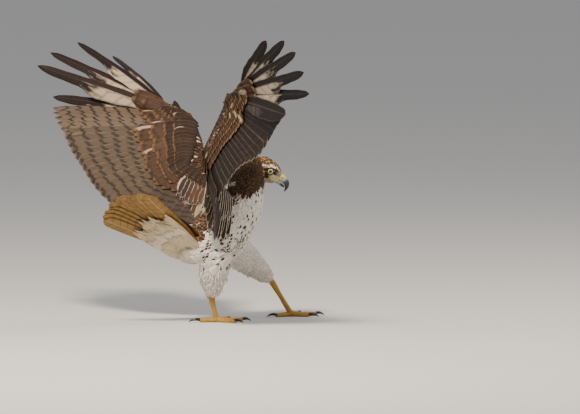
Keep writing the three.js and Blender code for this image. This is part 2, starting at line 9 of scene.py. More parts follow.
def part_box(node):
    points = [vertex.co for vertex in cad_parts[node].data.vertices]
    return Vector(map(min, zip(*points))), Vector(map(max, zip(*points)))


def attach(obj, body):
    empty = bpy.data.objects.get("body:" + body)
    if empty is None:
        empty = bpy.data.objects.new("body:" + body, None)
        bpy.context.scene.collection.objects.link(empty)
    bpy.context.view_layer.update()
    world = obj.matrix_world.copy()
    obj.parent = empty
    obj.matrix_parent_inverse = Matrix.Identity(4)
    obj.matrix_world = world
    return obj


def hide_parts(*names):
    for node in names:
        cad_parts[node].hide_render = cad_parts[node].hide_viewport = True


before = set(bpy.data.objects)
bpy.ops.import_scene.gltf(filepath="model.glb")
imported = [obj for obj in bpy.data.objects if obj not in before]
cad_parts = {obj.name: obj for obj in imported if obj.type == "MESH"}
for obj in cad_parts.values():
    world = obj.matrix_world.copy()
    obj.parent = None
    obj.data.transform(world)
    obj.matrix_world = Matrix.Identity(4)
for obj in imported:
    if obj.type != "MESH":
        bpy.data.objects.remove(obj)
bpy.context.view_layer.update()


# Camera, floor and light. A long lens far off, four degrees above the floor and thirty degrees
# behind the bird's right side, with a pale floor under it and three soft lamps.
MM = 0.001
VIEW_AZIMUTH, VIEW_ELEVATION = math.radians(-30), math.radians(4)
LENS, SENSOR = 1200, 36
FRAME_WIDTH = 1.189          # how wide the picture is at the bird
BIRD_LEFT_OF_MIDDLE = 0.148  # how far the bird's origin lies left of the picture's middle
FRAME_MIDDLE_HEIGHT = 0.236


def rgb(code):
    """Turns an sRGB hex colour into linear red, green, blue and alpha."""
    parts = [int(code[i:i + 2], 16) / 255 for i in (1, 3, 5)]
    return tuple(p / 12.92 if p < 0.04045 else ((p + 0.055) / 1.055) ** 2.4 for p in parts) + (1.0,)


def add(tree, kind, settings=None, **links):
    """Adds a node with its settings; links maps an input's name to a value or to an output socket."""
    made = tree.nodes.new(kind)
    for name, value in (settings or {}).items():
        setattr(made, name, value)
    for name, value in links.items():
        numbered = name[0] == "i" and name[1:].isdigit()
        socket = made.inputs[int(name[1:]) if numbered else name.replace("_", " ")]
        if isinstance(value, bpy.types.NodeSocket):
            tree.links.new(value, socket)
        else:
            socket.default_value = value
    return made


def new_material(name):
    material = bpy.data.materials.new(name)
    material.use_nodes = True
    tree = material.node_tree
    return material, tree, tree.nodes["Principled BSDF"]


def plain_material(name, code, roughness):
    """A material of one colour."""
    material, _, shader = new_material(name)
    shader.inputs["Base Color"].default_value = rgb(code)
    shader.inputs["Roughness"].default_value = roughness
    return material


def carried(tree, name):
    """The three numbers that a mesh carries in the attribute of this name."""
    source = add(tree, "ShaderNodeAttribute", {"attribute_name": name})
    return add(tree, "ShaderNodeSeparateXYZ", Vector=source.outputs["Vector"]).outputs


def grained(tree, colour, grain, low, high):
    """A colour whose value follows a grain, between two factors."""
    value = add(tree, "ShaderNodeMapRange", Value=grain, To_Min=low, To_Max=high).outputs["Result"]
    return add(tree, "ShaderNodeHueSaturation", Color=colour, Value=value).outputs[0]


def on_object(tree):
    return add(tree, "ShaderNodeTexCoord").outputs["Object"]


def bumped(tree, shader, height, strength, distance):
    """Adds a bump that follows the height to a shader."""
    bump = add(tree, "ShaderNodeBump", Strength=strength, Distance=distance, Height=height)
    tree.links.new(bump.outputs[0], shader.inputs["Normal"])


def mesh_object(name, mesh, material, slot_name, *nodes):
    """Makes a finished piece that rides on the bird and stands for the named solids."""
    piece = bpy.data.objects.new(name, mesh)
    bpy.context.scene.collection.objects.link(piece)
    mesh.materials.append(material)
    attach(piece, "root")
    if nodes:
        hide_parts(*nodes)
    return piece


# The head's axes give the bird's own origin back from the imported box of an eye.
HEAD_YAW, HEAD_PITCH = math.radians(-30), math.radians(25)
HEAD_CENTRE = Vector((117, -8, 309)) * MM
HEAD_ALONG = Vector((math.cos(HEAD_PITCH) * math.cos(HEAD_YAW), math.cos(HEAD_PITCH) * math.sin(HEAD_YAW),
                     -math.sin(HEAD_PITCH)))
HEAD_LEFT = Vector((-math.sin(HEAD_YAW), math.cos(HEAD_YAW), 0))
HEAD_UP = HEAD_ALONG.cross(HEAD_LEFT)
EYE_AT, EYE_OUT, EYE_RISE, EYE_RADIUS = 2 * MM, 18.7 * MM, -0.8 * MM, 7.6 * MM


def on_head(along, out, rise):
    return HEAD_CENTRE + HEAD_ALONG * along + HEAD_LEFT * out + HEAD_UP * rise


low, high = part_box("eye_left")
raw_middle = on_head(EYE_AT, EYE_OUT, EYE_RISE)
SHIFT = Vector(((low.x + high.x) / 2 - raw_middle.x, (low.y + high.y) / 2 - raw_middle.y, 0))
HEAD_CENTRE = HEAD_CENTRE + SHIFT

camera_data = bpy.data.cameras.new("camera")
camera_data.lens, camera_data.sensor_width = LENS, SENSOR
camera = bpy.data.objects.new("camera", camera_data)
bpy.context.scene.collection.objects.link(camera)
bpy.context.scene.camera = camera
view_right = Vector((math.cos(VIEW_AZIMUTH), math.sin(VIEW_AZIMUTH), 0))
view_back = Vector((math.sin(VIEW_AZIMUTH) * math.cos(VIEW_ELEVATION),
                    -math.cos(VIEW_AZIMUTH) * math.cos(VIEW_ELEVATION), math.sin(VIEW_ELEVATION)))
target = SHIFT + view_right * BIRD_LEFT_OF_MIDDLE + Vector((0, 0, FRAME_MIDDLE_HEIGHT))
camera.location = target + view_back * (FRAME_WIDTH * LENS / SENSOR)
camera.rotation_euler = (target - camera.location).to_track_quat("-Z", "Y").to_euler()

FLOOR_HALF = 60              # metres, so that its far edge lies level with the horizon
bm = bmesh.new()
bmesh.ops.create_grid(bm, x_segments=8, y_segments=8, size=FLOOR_HALF)
floor_mesh = bpy.data.meshes.new("floor")
bm.to_mesh(floor_mesh)
bm.free()
floor_mesh.materials.append(plain_material("matt floor paint", "#c9c6c1", 0.85))
floor = bpy.data.objects.new("floor", floor_mesh)
bpy.context.scene.collection.objects.link(floor)

world = bpy.data.worlds.new("studio")
bpy.context.scene.world = world
world.use_nodes = True
world.node_tree.nodes["Background"].inputs["Color"].default_value = rgb("#dfe3ea")
world.node_tree.nodes["Background"].inputs["Strength"].default_value = 0.6


LAMPS_AIM = Vector((0, 0, 0.3))


def soft_lamp(name, place, size, power, colour):
    lamp_data = bpy.data.lights.new(name, "AREA")
    lamp_data.size, lamp_data.energy, lamp_data.color = size, power, rgb(colour)[:3]
    lamp = bpy.data.objects.new(name, lamp_data)
    lamp.location = place
    lamp.rotation_euler = (LAMPS_AIM - lamp.location).to_track_quat("-Z", "Y").to_euler()
    bpy.context.scene.collection.objects.link(lamp)


soft_lamp("key lamp", Vector((-1.6, -1.6, 3.0)), 0.6, 230, "#fff1dc")
soft_lamp("front lamp", Vector((2.6, -0.9, 2.0)), 1.4, 45, "#fff8ee")
soft_lamp("fill lamp", Vector((-2.4, 1.6, 2.0)), 2.0, 25, "#e6efff")


# Feathers are made of keratin: a stiff shaft with a web on each side. A row of them is one mesh of
# thin closed vanes, each with its own place on the bake map and numbers that its colours follow.
rng = np.random.default_rng(7)
CLOSED = {}
STRIP_HALF, TOP_STRIP, UNDER_STRIP = 0.24, 0.25, 0.75    # both faces side by side on the bake map


def vane_faces(rows, columns):
    """Faces of one closed vane: a top and a bottom grid with a rim between them."""
    key = (rows, columns)
    if key in CLOSED:
        return CLOSED[key]
    top = np.arange(rows * columns).reshape(rows, columns)
    under = top + rows * columns
    faces = []
    for r in range(rows - 1):
        for c in range(columns - 1):
            faces.append((top[r, c], top[r, c + 1], top[r + 1, c + 1], top[r + 1, c]))
            faces.append((under[r, c], under[r + 1, c], under[r + 1, c + 1], under[r, c + 1]))
    rim = [top[0, c] for c in range(columns)] + [top[r, -1] for r in range(1, rows)]
    rim += [top[-1, c] for c in range(columns - 2, -1, -1)] + [top[r, 0] for r in range(rows - 2, 0, -1)]
    flat = len(faces)
    for a, b in zip(rim, rim[1:] + rim[:1]):
        faces.append((b, a, a + rows * columns, b + rows * columns))
    CLOSED[key] = (np.array(faces), flat)
    return CLOSED[key]


class Coat:
    """Gathers vanes of one grid size and turns them into one mesh."""

    def __init__(self, rows, columns):
        self.rows, self.columns = rows, columns
        self.points, self.vanes, self.tints, self.marks, self.maps = [], [], [], [], []

    def add(self, middles, across, normals, outer, inner, thick, tint, marks, patch, ridge):
        """Middles, across and normals hold one row a station. The widths are half widths in metres."""
        side = np.linspace(-1, 1, self.columns)
        width = np.where(side < 0, -outer[:, None] * -side, inner[:, None] * side)
        bow = (1 - np.abs(side)) * ridge
        spread = middles[:, None] + across[:, None] * width[..., None]
        lifted = spread + normals[:, None] * bow[None, :, None]
        half = thick * 0.5 * (1 - 0.5 * np.abs(side))[None, :, None]
        top, under = lifted + normals[:, None] * half, lifted - normals[:, None] * half
        self.points.append(np.concatenate([top.reshape(-1, 3), under.reshape(-1, 3)]))
        along = np.linspace(0, 1, self.rows)
        vane = np.empty((2, self.rows, self.columns, 3))
        vane[..., 0], vane[..., 1], vane[..., 2] = side[None, None, :], along[None, :, None], rng.random()
        self.vanes.append(vane.reshape(-1, 3))
        count = 2 * self.rows * self.columns
        self.tints.append(np.broadcast_to(np.array(tint, dtype=float), (count, 4)))
        self.marks.append(np.broadcast_to(np.array(marks, dtype=float), (count, 3)))
        u0, v0, du, dv = patch
        grid = np.empty((2, self.rows, self.columns, 2))
        grid[0, ..., 0] = u0 + du * (side[None, :] * STRIP_HALF + TOP_STRIP)
        grid[1, ..., 0] = u0 + du * (side[None, :] * STRIP_HALF + UNDER_STRIP)
        grid[..., 1] = v0 + dv * along[None, :, None]
        self.maps.append(grid.reshape(-1, 2))

    def mesh(self, name):
        faces, flat = vane_faces(self.rows, self.columns)
        each = 2 * self.rows * self.columns
        count = len(self.points)
        points = np.concatenate(self.points)
        every = (faces[None] + (np.arange(count) * each)[:, None, None]).reshape(-1, 4)
        mesh = bpy.data.meshes.new(name)
        mesh.vertices.add(len(points))
        mesh.vertices.foreach_set("co", points.ravel())
        mesh.loops.add(every.size)
        mesh.loops.foreach_set("vertex_index", every.ravel())
        mesh.polygons.add(len(every))
        mesh.polygons.foreach_set("loop_start", np.arange(0, every.size, 4))
        mesh.polygons.foreach_set("use_smooth", np.tile(np.arange(len(faces)) < flat, count))
        mesh.update(calc_edges=True)
        for label, rows in (("vane", self.vanes), ("marks", self.marks)):
            layer = mesh.attributes.new(label, "FLOAT_VECTOR", "POINT")
            layer.data.foreach_set("vector", np.concatenate(rows).ravel())
        layer = mesh.attributes.new("tint", "FLOAT_COLOR", "POINT")
        layer.data.foreach_set("color", np.concatenate(self.tints).ravel())
        bake = mesh.uv_layers.new(name="OFBake")
        bake.data.foreach_set("uv", np.concatenate(self.maps)[every.ravel()].ravel())
        mesh.validate()
        return mesh


# Where each mark begins on the web and how steeply it comes in.
SIDE_RIM, TIP_RIM_SLOPE, RIM_BREAK = (5.8 / 7.0, 7.0), 14.0, (0.0625, 1.6)
BAR_SLOPE, BAR_SLANT, BAR_SHIFT = 9.0, -0.05, 0.3
SPOT_MIDDLE, SPOT_WIDE, SPOT_LONG, SPOT_EDGE = 0.74, 1.5, 3.6, (0.8, -3.0)
SHAFT_EDGE, SHAFT_SHARE = (1.6 / 22.0, -22.0), 0.5
PALE_BASE_EDGE, INNER_WEB_EDGE = (5.6 / 9.0, -9.0), (-0.12, 5.0)
MOTTLE_ACROSS, MOTTLE_ALONG, MOTTLE_SEED, MOTTLE_SCALE = 1.6, 5.0, 40.0, 1.7
BARB_SLANT, BARBS, BARB_DEPTH = -0.35, 26.0, 0.0006


def plumage(name, bars, bar_width, bar_colour, tip, roughness, side_rim=0.6, spot_colour="#33261e",
            edge_colour="#a98761", shaft_colour="#4a3a2c", pale_base=None):
    """Dull keratin web. Bars, a dark spot or a pale base, a pale rim and the shaft follow the vane."""
    material, tree, shader = new_material(name)
    across, along, seed = carried(tree, "vane")
    bar_mark, inner_mark, rim_mark = carried(tree, "marks")
    tint = add(tree, "ShaderNodeAttribute", {"attribute_name": "tint"})

    def maths(operation, a, b=0.0, c=0.0, clamp=False):
        settings = {"operation": operation, "use_clamp": clamp}
        return add(tree, "ShaderNodeMath", settings, i0=a, i1=b, i2=c).outputs[0]

    def ramp(value, start, slope):
        return maths("MULTIPLY_ADD", value, slope, -slope * start, clamp=True)

    def times(a, b):
        return maths("MULTIPLY", a, b)

    def blend(mask, a, b):
        return add(tree, "ShaderNodeMix", {"data_type": "RGBA"}, i0=mask, i6=a, i7=b).outputs[2]

    sideways = maths("ABSOLUTE", across)
    spread = add(tree, "ShaderNodeCombineXYZ", X=times(across, MOTTLE_ACROSS), Y=times(along, MOTTLE_ALONG),
                 Z=times(seed, MOTTLE_SEED)).outputs[0]
    mottle = add(tree, "ShaderNodeTexNoise", Vector=spread, Scale=MOTTLE_SCALE, Detail=4.0).outputs["Fac"]
    wobble = maths("MULTIPLY_ADD", mottle, 0.5, -0.25)
    from_tip = maths("SUBTRACT", 1.0, maths("MULTIPLY_ADD", sideways, BAR_SLANT, along))
    phase = maths("ADD", times(from_tip, bars), maths("MULTIPLY_ADD", seed, BAR_SHIFT, wobble))
    wave = maths("PINGPONG", phase, 0.5)
    bar_mask = times(ramp(wave, 0.5 - bar_width / 2, BAR_SLOPE), bar_mark)
    side = times(ramp(sideways, *SIDE_RIM), side_rim)
    rim = times(maths("MAXIMUM", side, ramp(along, tip, TIP_RIM_SLOPE)), ramp(mottle, *RIM_BREAK))
    shaft = ramp(sideways, *SHAFT_EDGE)

    colour = add(tree, "ShaderNodeHueSaturation", Color=tint.outputs["Color"],
                 Value=maths("MULTIPLY_ADD", mottle, 0.7, 0.62)).outputs[0]
    if pale_base:
        base = times(ramp(maths("ADD", along, wobble), *PALE_BASE_EDGE), ramp(across, *INNER_WEB_EDGE))
        colour = blend(times(base, inner_mark), colour, rgb(pale_base))
    colour = blend(bar_mask, colour, rgb(bar_colour))
    if not pale_base:
        beside = maths("POWER", times(sideways, SPOT_WIDE), 2.0)
        beyond = maths("POWER", times(maths("SUBTRACT", along, SPOT_MIDDLE), SPOT_LONG), 2.0)
        spot = times(ramp(maths("ADD", beside, beyond), *SPOT_EDGE), inner_mark)
        colour = blend(spot, colour, rgb(spot_colour))
    colour = blend(times(rim, rim_mark), colour, rgb(edge_colour))
    colour = blend(times(shaft, SHAFT_SHARE), colour, rgb(shaft_colour))
    tree.links.new(colour, shader.inputs["Base Color"])
    shader.inputs["Roughness"].default_value = roughness
    shader.inputs["Specular IOR Level"].default_value = 0.18
    barb_line = add(tree, "ShaderNodeCombineXYZ", Y=maths("MULTIPLY_ADD", sideways, BARB_SLANT, along))
    barbs = add(tree, "ShaderNodeTexWave", {"bands_direction": "Y"}, Vector=barb_line.outputs[0],
                Scale=BARBS, Distortion=1.5)
    bumped(tree, shader, barbs.outputs["Fac"], 0.25, BARB_DEPTH)
    return material


# Wings. Ten primaries on the hand, thirteen secondaries on the arm and five tertials, each lying over
# the next one outwards. Key feathers have sweep and lift in degrees and a length in millimetres.
LEFT, RIGHT = 1, -1
WINGS = [
    {"name": "wing_left", "side": LEFT,
     "shoulder": (0, 40, 262), "elbow": (-16, 133, 296), "wrist": (33, 192, 388), "hand_sweep": 6,
     "hand_lift": 30,
     "front": [(28, 44, 272), (34, 112, 318), (47, 170, 362), (44, 200, 396)],
     "keys": [("P10", 5, 26, 216), ("P9", 19, 27, 280), ("P8", 29, 21, 310), ("P7", 34, 16, 323),
              ("P6", 33, 6, 283), ("P5", 42, 3, 268), ("P3", 56, 2, 258), ("P1", 60, -1, 257),
              ("S3", 60, -7, 235), ("S6", 60, -11, 210), ("S9", 57, -18, 190), ("S12", 60, -28, 156),
              ("T2", 85, -41, 114), ("T5", 105, -52, 84)]},
    {"name": "wing_right", "side": RIGHT,
     "shoulder": (0, -40, 262), "elbow": (-71, -82, 339), "wrist": (-25, -106, 447), "hand_sweep": 16,
     "hand_lift": 36,
     "front": [(-20, -46, 290), (-70, -86, 350), (-44, -100, 410), (-22, -112, 462)],
     "keys": [("P10", 14, 29, 219), ("P9", 9, 24, 279), ("P8", 7, 18, 312), ("P7", 5, 11, 323),
              ("P6", 2, 4, 313), ("P5", 8, -4, 268), ("P3", 10, -6, 247), ("P1", 10, -11, 235),
              ("S3", 13, -19, 222), ("S6", 17, -15, 207), ("S9", 20, -16, 195), ("S12", 22, -23, 180),
              ("T2", 28, -30, 165), ("T5", 40, -36, 148)]},
]
PRIMARIES, SECONDARIES, TERTIALS, FINGERS = 10, 13, 5, 5
HAND_LENGTH, SMOOTHING, CAMBER = 82 * MM, 3, 5 * MM
TERTIAL_SPACING, FIRST_TERTIAL = 0.18, 0.7
STEP_UP, LARGEST_TILT = 1.5 * MM, 0.2             # how far a vane lies over the next one
RISE_AT_ROOT, RISE_SPEED = 0.45, 1.9
RAGGED, RAGGED_WAVES, RAGGED_FROM = 0.035, 37, 0.2
INNER_OVERLAP = 1.25                              # the inner web reaches under the next vane
RIDGE = 0.5 * MM                                  # how high the middle of a large vane bows up


def unit(vector):
    return vector / np.linalg.norm(vector)


def units(vectors, least=0.0):
    """Each row at length one; least keeps a row of no length from being divided by zero."""
    return vectors / (np.linalg.norm(vectors, axis=-1)[..., None] + least)


def place(point):
    return np.array(point, dtype=float) * MM + np.array(SHIFT)


def direction(sweep, lift, side):
    s, l = math.radians(sweep), math.radians(lift)
    return np.array((-math.sin(s) * math.cos(l), side * math.cos(s) * math.cos(l), math.sin(l)))


def wing_row(wing):
    """Root, direction and length of each flight feather, from the outermost inwards."""
    def order(label):
        n = int(label[1:])
        if label[0] == "P":
            return PRIMARIES - n
        return PRIMARIES + n - 1 + (SECONDARIES if label[0] == "T" else 0)

    count = PRIMARIES + SECONDARIES + TERTIALS
    spots = [order(key[0]) for key in wing["keys"]]
    tables = [[key[k] for key in wing["keys"]] for k in (1, 2, 3)]
    aims = np.stack([np.interp(np.arange(count), spots, table) for table in tables], 1)
    for _ in range(SMOOTHING):
        aims[FINGERS + 1:-1] = (aims[FINGERS:-2] + 2 * aims[FINGERS + 1:-1] + aims[FINGERS + 2:]) / 4
    shoulder, elbow, wrist = (place(wing[k]) for k in ("shoulder", "elbow", "wrist"))
    hand = direction(wing["hand_sweep"], wing["hand_lift"], wing["side"])
    row = []
    for i, (sweep, lift, length) in enumerate(aims):
        if i < PRIMARIES:
            root = wrist + hand * HAND_LENGTH * (PRIMARIES - i - 0.5) / PRIMARIES
        elif i < PRIMARIES + SECONDARIES:
            root = wrist + (elbow - wrist) * (i - PRIMARIES + 0.5) / SECONDARIES
        else:
            steps_in = i - PRIMARIES - SECONDARIES + FIRST_TERTIAL
            root = elbow + (shoulder - elbow) * TERTIAL_SPACING * steps_in
        row.append({"root": root, "out": direction(sweep, lift, wing["side"]), "length": length * MM})
    return row


# Shares of a vane's length with the half widths of its outer and inner web there, in millimetres.
FORMS = {
    "finger": ([0, 0.14, 0.3, 0.5, 0.58, 0.66, 0.85, 0.94, 0.985, 1], [2, 9, 12, 12, 11, 9.5, 8.5, 7, 4, 1],
               [2, 12, 21, 26, 24, 13, 11, 8, 4, 1]),
    "primary": ([0, 0.14, 0.3, 0.66, 0.85, 0.94, 0.985, 1], [2, 10, 15, 16, 14, 11, 6, 1.5],
                [2, 12, 22, 25, 23, 18, 9, 2]),
    "secondary": ([0, 0.14, 0.3, 0.8, 0.92, 0.97, 1], [2, 11, 18, 21, 19, 13, 4],
                  [2, 13, 22, 25, 22, 15, 5]),
    "covert": ([0, 0.2, 0.45, 0.8, 0.93, 1], [2, 8, 12, 13, 9.5, 2.5], [2, 8, 13, 14, 10, 3]),
    "alula": ([0, 0.2, 0.6, 0.9, 1], [2, 7, 8, 5, 1], [2, 8, 9, 6, 1.5]),
}


def curves_of(form, rows):
    shares, outer, inner = FORMS[form]
    t = np.linspace(0, 1, rows)
    return t, np.interp(t, shares, outer) * MM, np.interp(t, shares, inner) * MM


def row_frame(wing, row, i, spots):
    """One feather's middles without rise, inward and dorsal directions and space to its neighbours."""
    first, last = max(0, i - 1), min(len(row) - 1, i + 1)
    f, spans = row[i], last - first
    seen = np.clip(spots, 0, None)[:, None]
    before, after = (row[k]["root"] + row[k]["out"] * row[k]["length"] * seen for k in (first, last))
    inward = after - before
    inward -= f["out"] * (inward @ f["out"])[:, None]
    space = np.linalg.norm(inward, axis=1) / spans
    inward = units(inward)
    dorsal = np.cross(f["out"], inward) * wing["side"]
    return f["root"] + f["out"] * f["length"] * spots[:, None], inward, dorsal, space


def add_row_vane(coat, wing, row, i, form, tint, marks, patch, reach=1.0, back=0.0, rise=0.0,
                 thick=0.7 * MM, start=0.0):
    """Adds the vane of feather i to a coat. A covert reaches only a share of the feather below it."""
    f = row[i]
    t, outer, inner = curves_of(form, coat.rows)
    spots = (t * reach * f["length"] - back) / f["length"]
    middle, inward, dorsal, space = row_frame(wing, row, i, spots)
    tilt = np.minimum(LARGEST_TILT, STEP_UP / space)[:, None]
    across = units(inward - dorsal * tilt)
    normals = units(np.cross(across, np.broadcast_to(f["out"], across.shape)) * -wing["side"])
    seen = np.clip(spots, 0, None)
    lift = rise * np.minimum(1, RISE_AT_ROOT + t * RISE_SPEED) + CAMBER * np.sin(np.pi * seen) + start
    if form in ("finger", "primary", "secondary"):
        outer, inner = np.minimum(outer, space), np.minimum(inner, space * INNER_OVERLAP)
    ragged = 1 + RAGGED * np.sin(t * RAGGED_WAVES + i * 2.1) * (t > RAGGED_FROM)
    coat.add(middle + dorsal * lift[:, None], across, normals, outer * ragged, inner * ragged, thick, tint,
             marks, patch, RIDGE)


# Helpers for skins: a closed loft, an unwrap for baking, and a skin that small feathers follow.
def catmull(points, t):
    """Point on a smooth curve through the rows of an array, t from 0 to 1."""
    points = np.asarray(points, dtype=float)
    spot = np.clip(np.asarray(t) * (len(points) - 1), 0, len(points) - 1 - 1e-9)
    k = spot.astype(int)
    f = (spot - k)[:, None]
    padded = np.concatenate([[2 * points[0] - points[1]], points, [2 * points[-1] - points[-2]]])
    a, b, c, d = (padded[k + j] for j in range(4))
    square, cube = (2 * a - 5 * b + 4 * c - d) * f ** 2, (3 * b - a - 3 * c + d) * f ** 3
    return 0.5 * (2 * b + (c - a) * f + square + cube)


UNWRAP_ANGLE, ISLAND_MARGIN = math.radians(66), 0.004


def unwrap(mesh):
    """Gives a mesh its bake map with the smart projection."""
    piece = bpy.data.objects.new("unwrap", mesh)
    bpy.context.scene.collection.objects.link(piece)
    for layer in list(mesh.uv_layers):
        mesh.uv_layers.remove(layer)
    mesh.uv_layers.new(name="OFBake")
    bpy.ops.object.select_all(action="DESELECT")
    piece.select_set(True)
    bpy.context.view_layer.objects.active = piece
    bpy.ops.object.mode_set(mode="EDIT")
    bpy.ops.mesh.select_all(action="SELECT")
    bpy.ops.uv.smart_project(angle_limit=UNWRAP_ANGLE, island_margin=ISLAND_MARGIN)
    bpy.ops.object.mode_set(mode="OBJECT")
    bpy.data.objects.remove(piece)
    return mesh


def loft(centres, acrosses, wides, talls, steps, sides, bulge=None):
    """Closed tube through stations, with its cosine, sine and share of the length kept as 'span'."""
    t = np.linspace(0, 1, steps + 1)
    middle, lean = catmull(centres, t), catmull(acrosses, t)
    sizes = catmull(np.stack([wides, talls], 1), t)
    sizes = np.maximum(sizes, np.min([wides, talls]) * 0.5)
    along = units(np.gradient(middle, axis=0))
    lean = units(lean - along * (lean * along).sum(1)[:, None])
    up = np.cross(along, lean)
    bm = bmesh.new()
    bmesh.ops.create_grid(bm, x_segments=sides, y_segments=steps, size=1)
    span = bm.verts.layers.float_vector.new("span")
    for vert in bm.verts:
        angle, share = (vert.co.x + 1) * math.pi, (vert.co.y + 1) / 2
        k = round(share * steps)
        scale = bulge(angle, share) if bulge else 1.0
        aside, above = lean[k] * math.cos(angle) * sizes[k][0], up[k] * math.sin(angle) * sizes[k][1]
        vert[span] = (math.cos(angle), math.sin(angle), share)
        vert.co = middle[k] + (aside + above) * scale
    bmesh.ops.remove_doubles(bm, verts=bm.verts, dist=1e-7)
    bmesh.ops.holes_fill(bm, edges=[e for e in bm.edges if e.is_boundary], sides=0)
    bmesh.ops.triangulate(bm, faces=[f for f in bm.faces if len(f.verts) > 4])
    bmesh.ops.recalc_face_normals(bm, faces=bm.faces)
    for face in bm.faces:
        face.smooth = True
    return bm


def tube(centres, across, wides, talls, steps, sides, bulge=None):
    """A loft whose rings all lie along one direction."""
    return loft(centres, [across] * len(centres), wides, talls, steps, sides, bulge)


def finished(bm, name):
    """Turns a loft into a mesh with its bake map."""
    mesh = bpy.data.meshes.new(name)
    bm.to_mesh(mesh)
    bm.free()
    return unwrap(mesh)


def loft_piece(name, bm, material, slot_name, *nodes):
    mesh_object(name, finished(bm, name.replace("_", " ")), material, slot_name, *nodes)


def coat_piece(name, coat, material, slot_name, *nodes):
    mesh_object(name, coat.mesh(name.replace("_", " ")), material, slot_name, *nodes)


SCATTER, CELL = 1.2 * MM, 12 * MM
AROUND = [(a, b, c) for a in (-1, 0, 1) for b in (-1, 0, 1) for c in (-1, 0, 1)]
PATCH = 0.003                # a small feather's place on the bake map, as a share of the map
SMALL_SHAPE = ([0, 0.25, 0.6, 0.85, 1], [0.35, 0.85, 1, 0.72, 0.14])
SMALL_RIDGE = 0.042          # how high its middle bows up, as a share of its length


class Skin:
    """A closed surface that can be searched for its nearest point, normal and place on the bake map."""

    def __init__(self, mesh):
        bm = bmesh.new()
        bm.from_mesh(mesh)
        self.tree = BVHTree.FromBMesh(bm)
        layer = bm.loops.layers.uv["OFBake"]
        self.maps = [sum((loop[layer].uv for loop in face.loops), Vector((0, 0))) / len(face.loops)
                     for face in bm.faces]
        self.areas = np.array([face.calc_area() for face in bm.faces])
        self.middles = np.array([face.calc_center_median() for face in bm.faces])
        bm.free()

    def nearest(self, point):
        spot, normal, face, _ = self.tree.find_nearest(Vector(point))
        return np.array(spot), np.array(normal), face

    def roots(self, spacing, tries):
        """Random places on the surface, no two nearer than spacing(point); a grid makes the search quick."""
        picks = rng.choice(len(self.areas), tries, p=self.areas / self.areas.sum())
        spots = self.middles[picks] + rng.normal(0, SCATTER, (tries, 3))
        kept, cells = [], {}
        for spot in spots:
            gap = spacing(spot)
            key = tuple((spot // CELL).astype(int))
            near = [cells.get((key[0] + a, key[1] + b, key[2] + c), ()) for a, b, c in AROUND]
            if any(((spot - other) ** 2).sum() < gap * gap for group in near for other in group):
                continue
            cells.setdefault(key, []).append(spot)
            kept.append(spot)
        return kept


def lay_vane(coat, skin, root, flow, length, half_width, sink, lift, tint, marks, keep=None,
             thick=0.35 * MM, curl=0.0):
    """Lays one small feather down the flow, each station on the skin and a little above the last."""
    here, normal, face = skin.nearest(root)
    t = np.linspace(0, 1, coat.rows)
    middles, normals = [], []
    step = length / (coat.rows - 1)
    for share in t:
        here, normal, _ = skin.nearest(here)
        heading = flow(here)
        heading = units(heading - normal * (heading @ normal), 1e-9)
        middles.append(here + normal * (lift * share ** 0.8 - sink * (1 - share) + curl * share ** 3))
        normals.append(normal)
        here = here + heading * step
    middles, normals = np.array(middles), np.array(normals)
    if keep and not keep(middles[-1]):
        return
    path = np.gradient(middles, axis=0)
    across = units(np.cross(normals, path), 1e-12)
    normals = units(np.cross(path, across), 1e-12)
    shape = np.interp(t, *SMALL_SHAPE) * half_width
    u, v = skin.maps[face]
    coat.add(middles, across, normals, shape, shape, thick, tint, marks, (u, v, PATCH, PATCH),
             SMALL_RIDGE * length)


def jitter(colour, amount=0.12):
    """A feather's own shade of a colour."""
    scale = 1 + rng.normal(0, amount)
    return tuple(np.clip(np.array(colour[:3]) * scale, 0, 1)) + (1.0,)


# Skin of the body: torso, neck, head and thighs joined, smoothed and drawn in by the coat's depth.
# The trunk's stations are x, z, half depth and half width. A thigh's are shares of its length and radii.
TRUNK = [(-90, 152, 10, 20), (-78, 148, 24, 33), (-52, 152, 35, 44), (-20, 168, 49, 53), (12, 194, 58, 58),
         (38, 230, 58, 57), (56, 264, 50, 48), (72, 292, 37, 37), (88, 315, 29, 29), (100, 326, 16, 18)]
THIGH = ([0, 0.3, 0.6, 0.85, 1.02], [38, 34, 27, 18, 9])
LEGS = [{"name": "left", "side": LEFT, "hip": (26, 34, 168), "heel": (150, 46, 80), "foot": (202, 52, 8),
         "turn": -6},
        {"name": "right", "side": RIGHT, "hip": (-20, -26, 150), "heel": (-22, -12, 52), "foot": (-8, -8, 8),
         "turn": -14}]
BODY_DEPTH, HEAD_DEPTH = 3.6 * MM, 1.3 * MM
VOXEL = 2.2 * MM
ORIGIN = np.array(SHIFT)
SPINE = 60                   # how many points the trunk's line is cut into
trunk_line = catmull(np.array([(x, 0, z) for x, z, _, _ in TRUNK]) * MM, np.linspace(0, 1, SPINE)) + ORIGIN
trunk_size = catmull(np.array([(d, w) for _, _, d, w in TRUNK]) * MM, np.linspace(0, 1, SPINE))
trunk_way = units(np.gradient(trunk_line, axis=0))
TO_LEFT = np.array((0, 1, 0))
head_axes = np.array([HEAD_ALONG, HEAD_LEFT, HEAD_UP])
head_middle = np.array(HEAD_CENTRE)
leg_lines = [(place(leg["hip"]), place(leg["heel"])) for leg in LEGS]


def on_head_axes(point):
    return head_axes @ (point - head_middle) / MM


HEAD_MIDDLE, HEAD_REACH = np.array((-2, 0, -2)), np.array((36, 28, 29))
THIGH_FROM, THIGH_ROOM, OUT_OF_TRUNK = 0.25, 1.12, 0.93
FACE_ENDS, FACE_SPAN = -26, 34
DROOP, SIDE_DROOP, SIDE_DEPTH = np.array((0, 0, -0.15)), np.array((0, 0, -0.35)), 50 * MM


def nearest_spine(point):
    return np.argmin(((trunk_line - point) ** 2).sum(1))


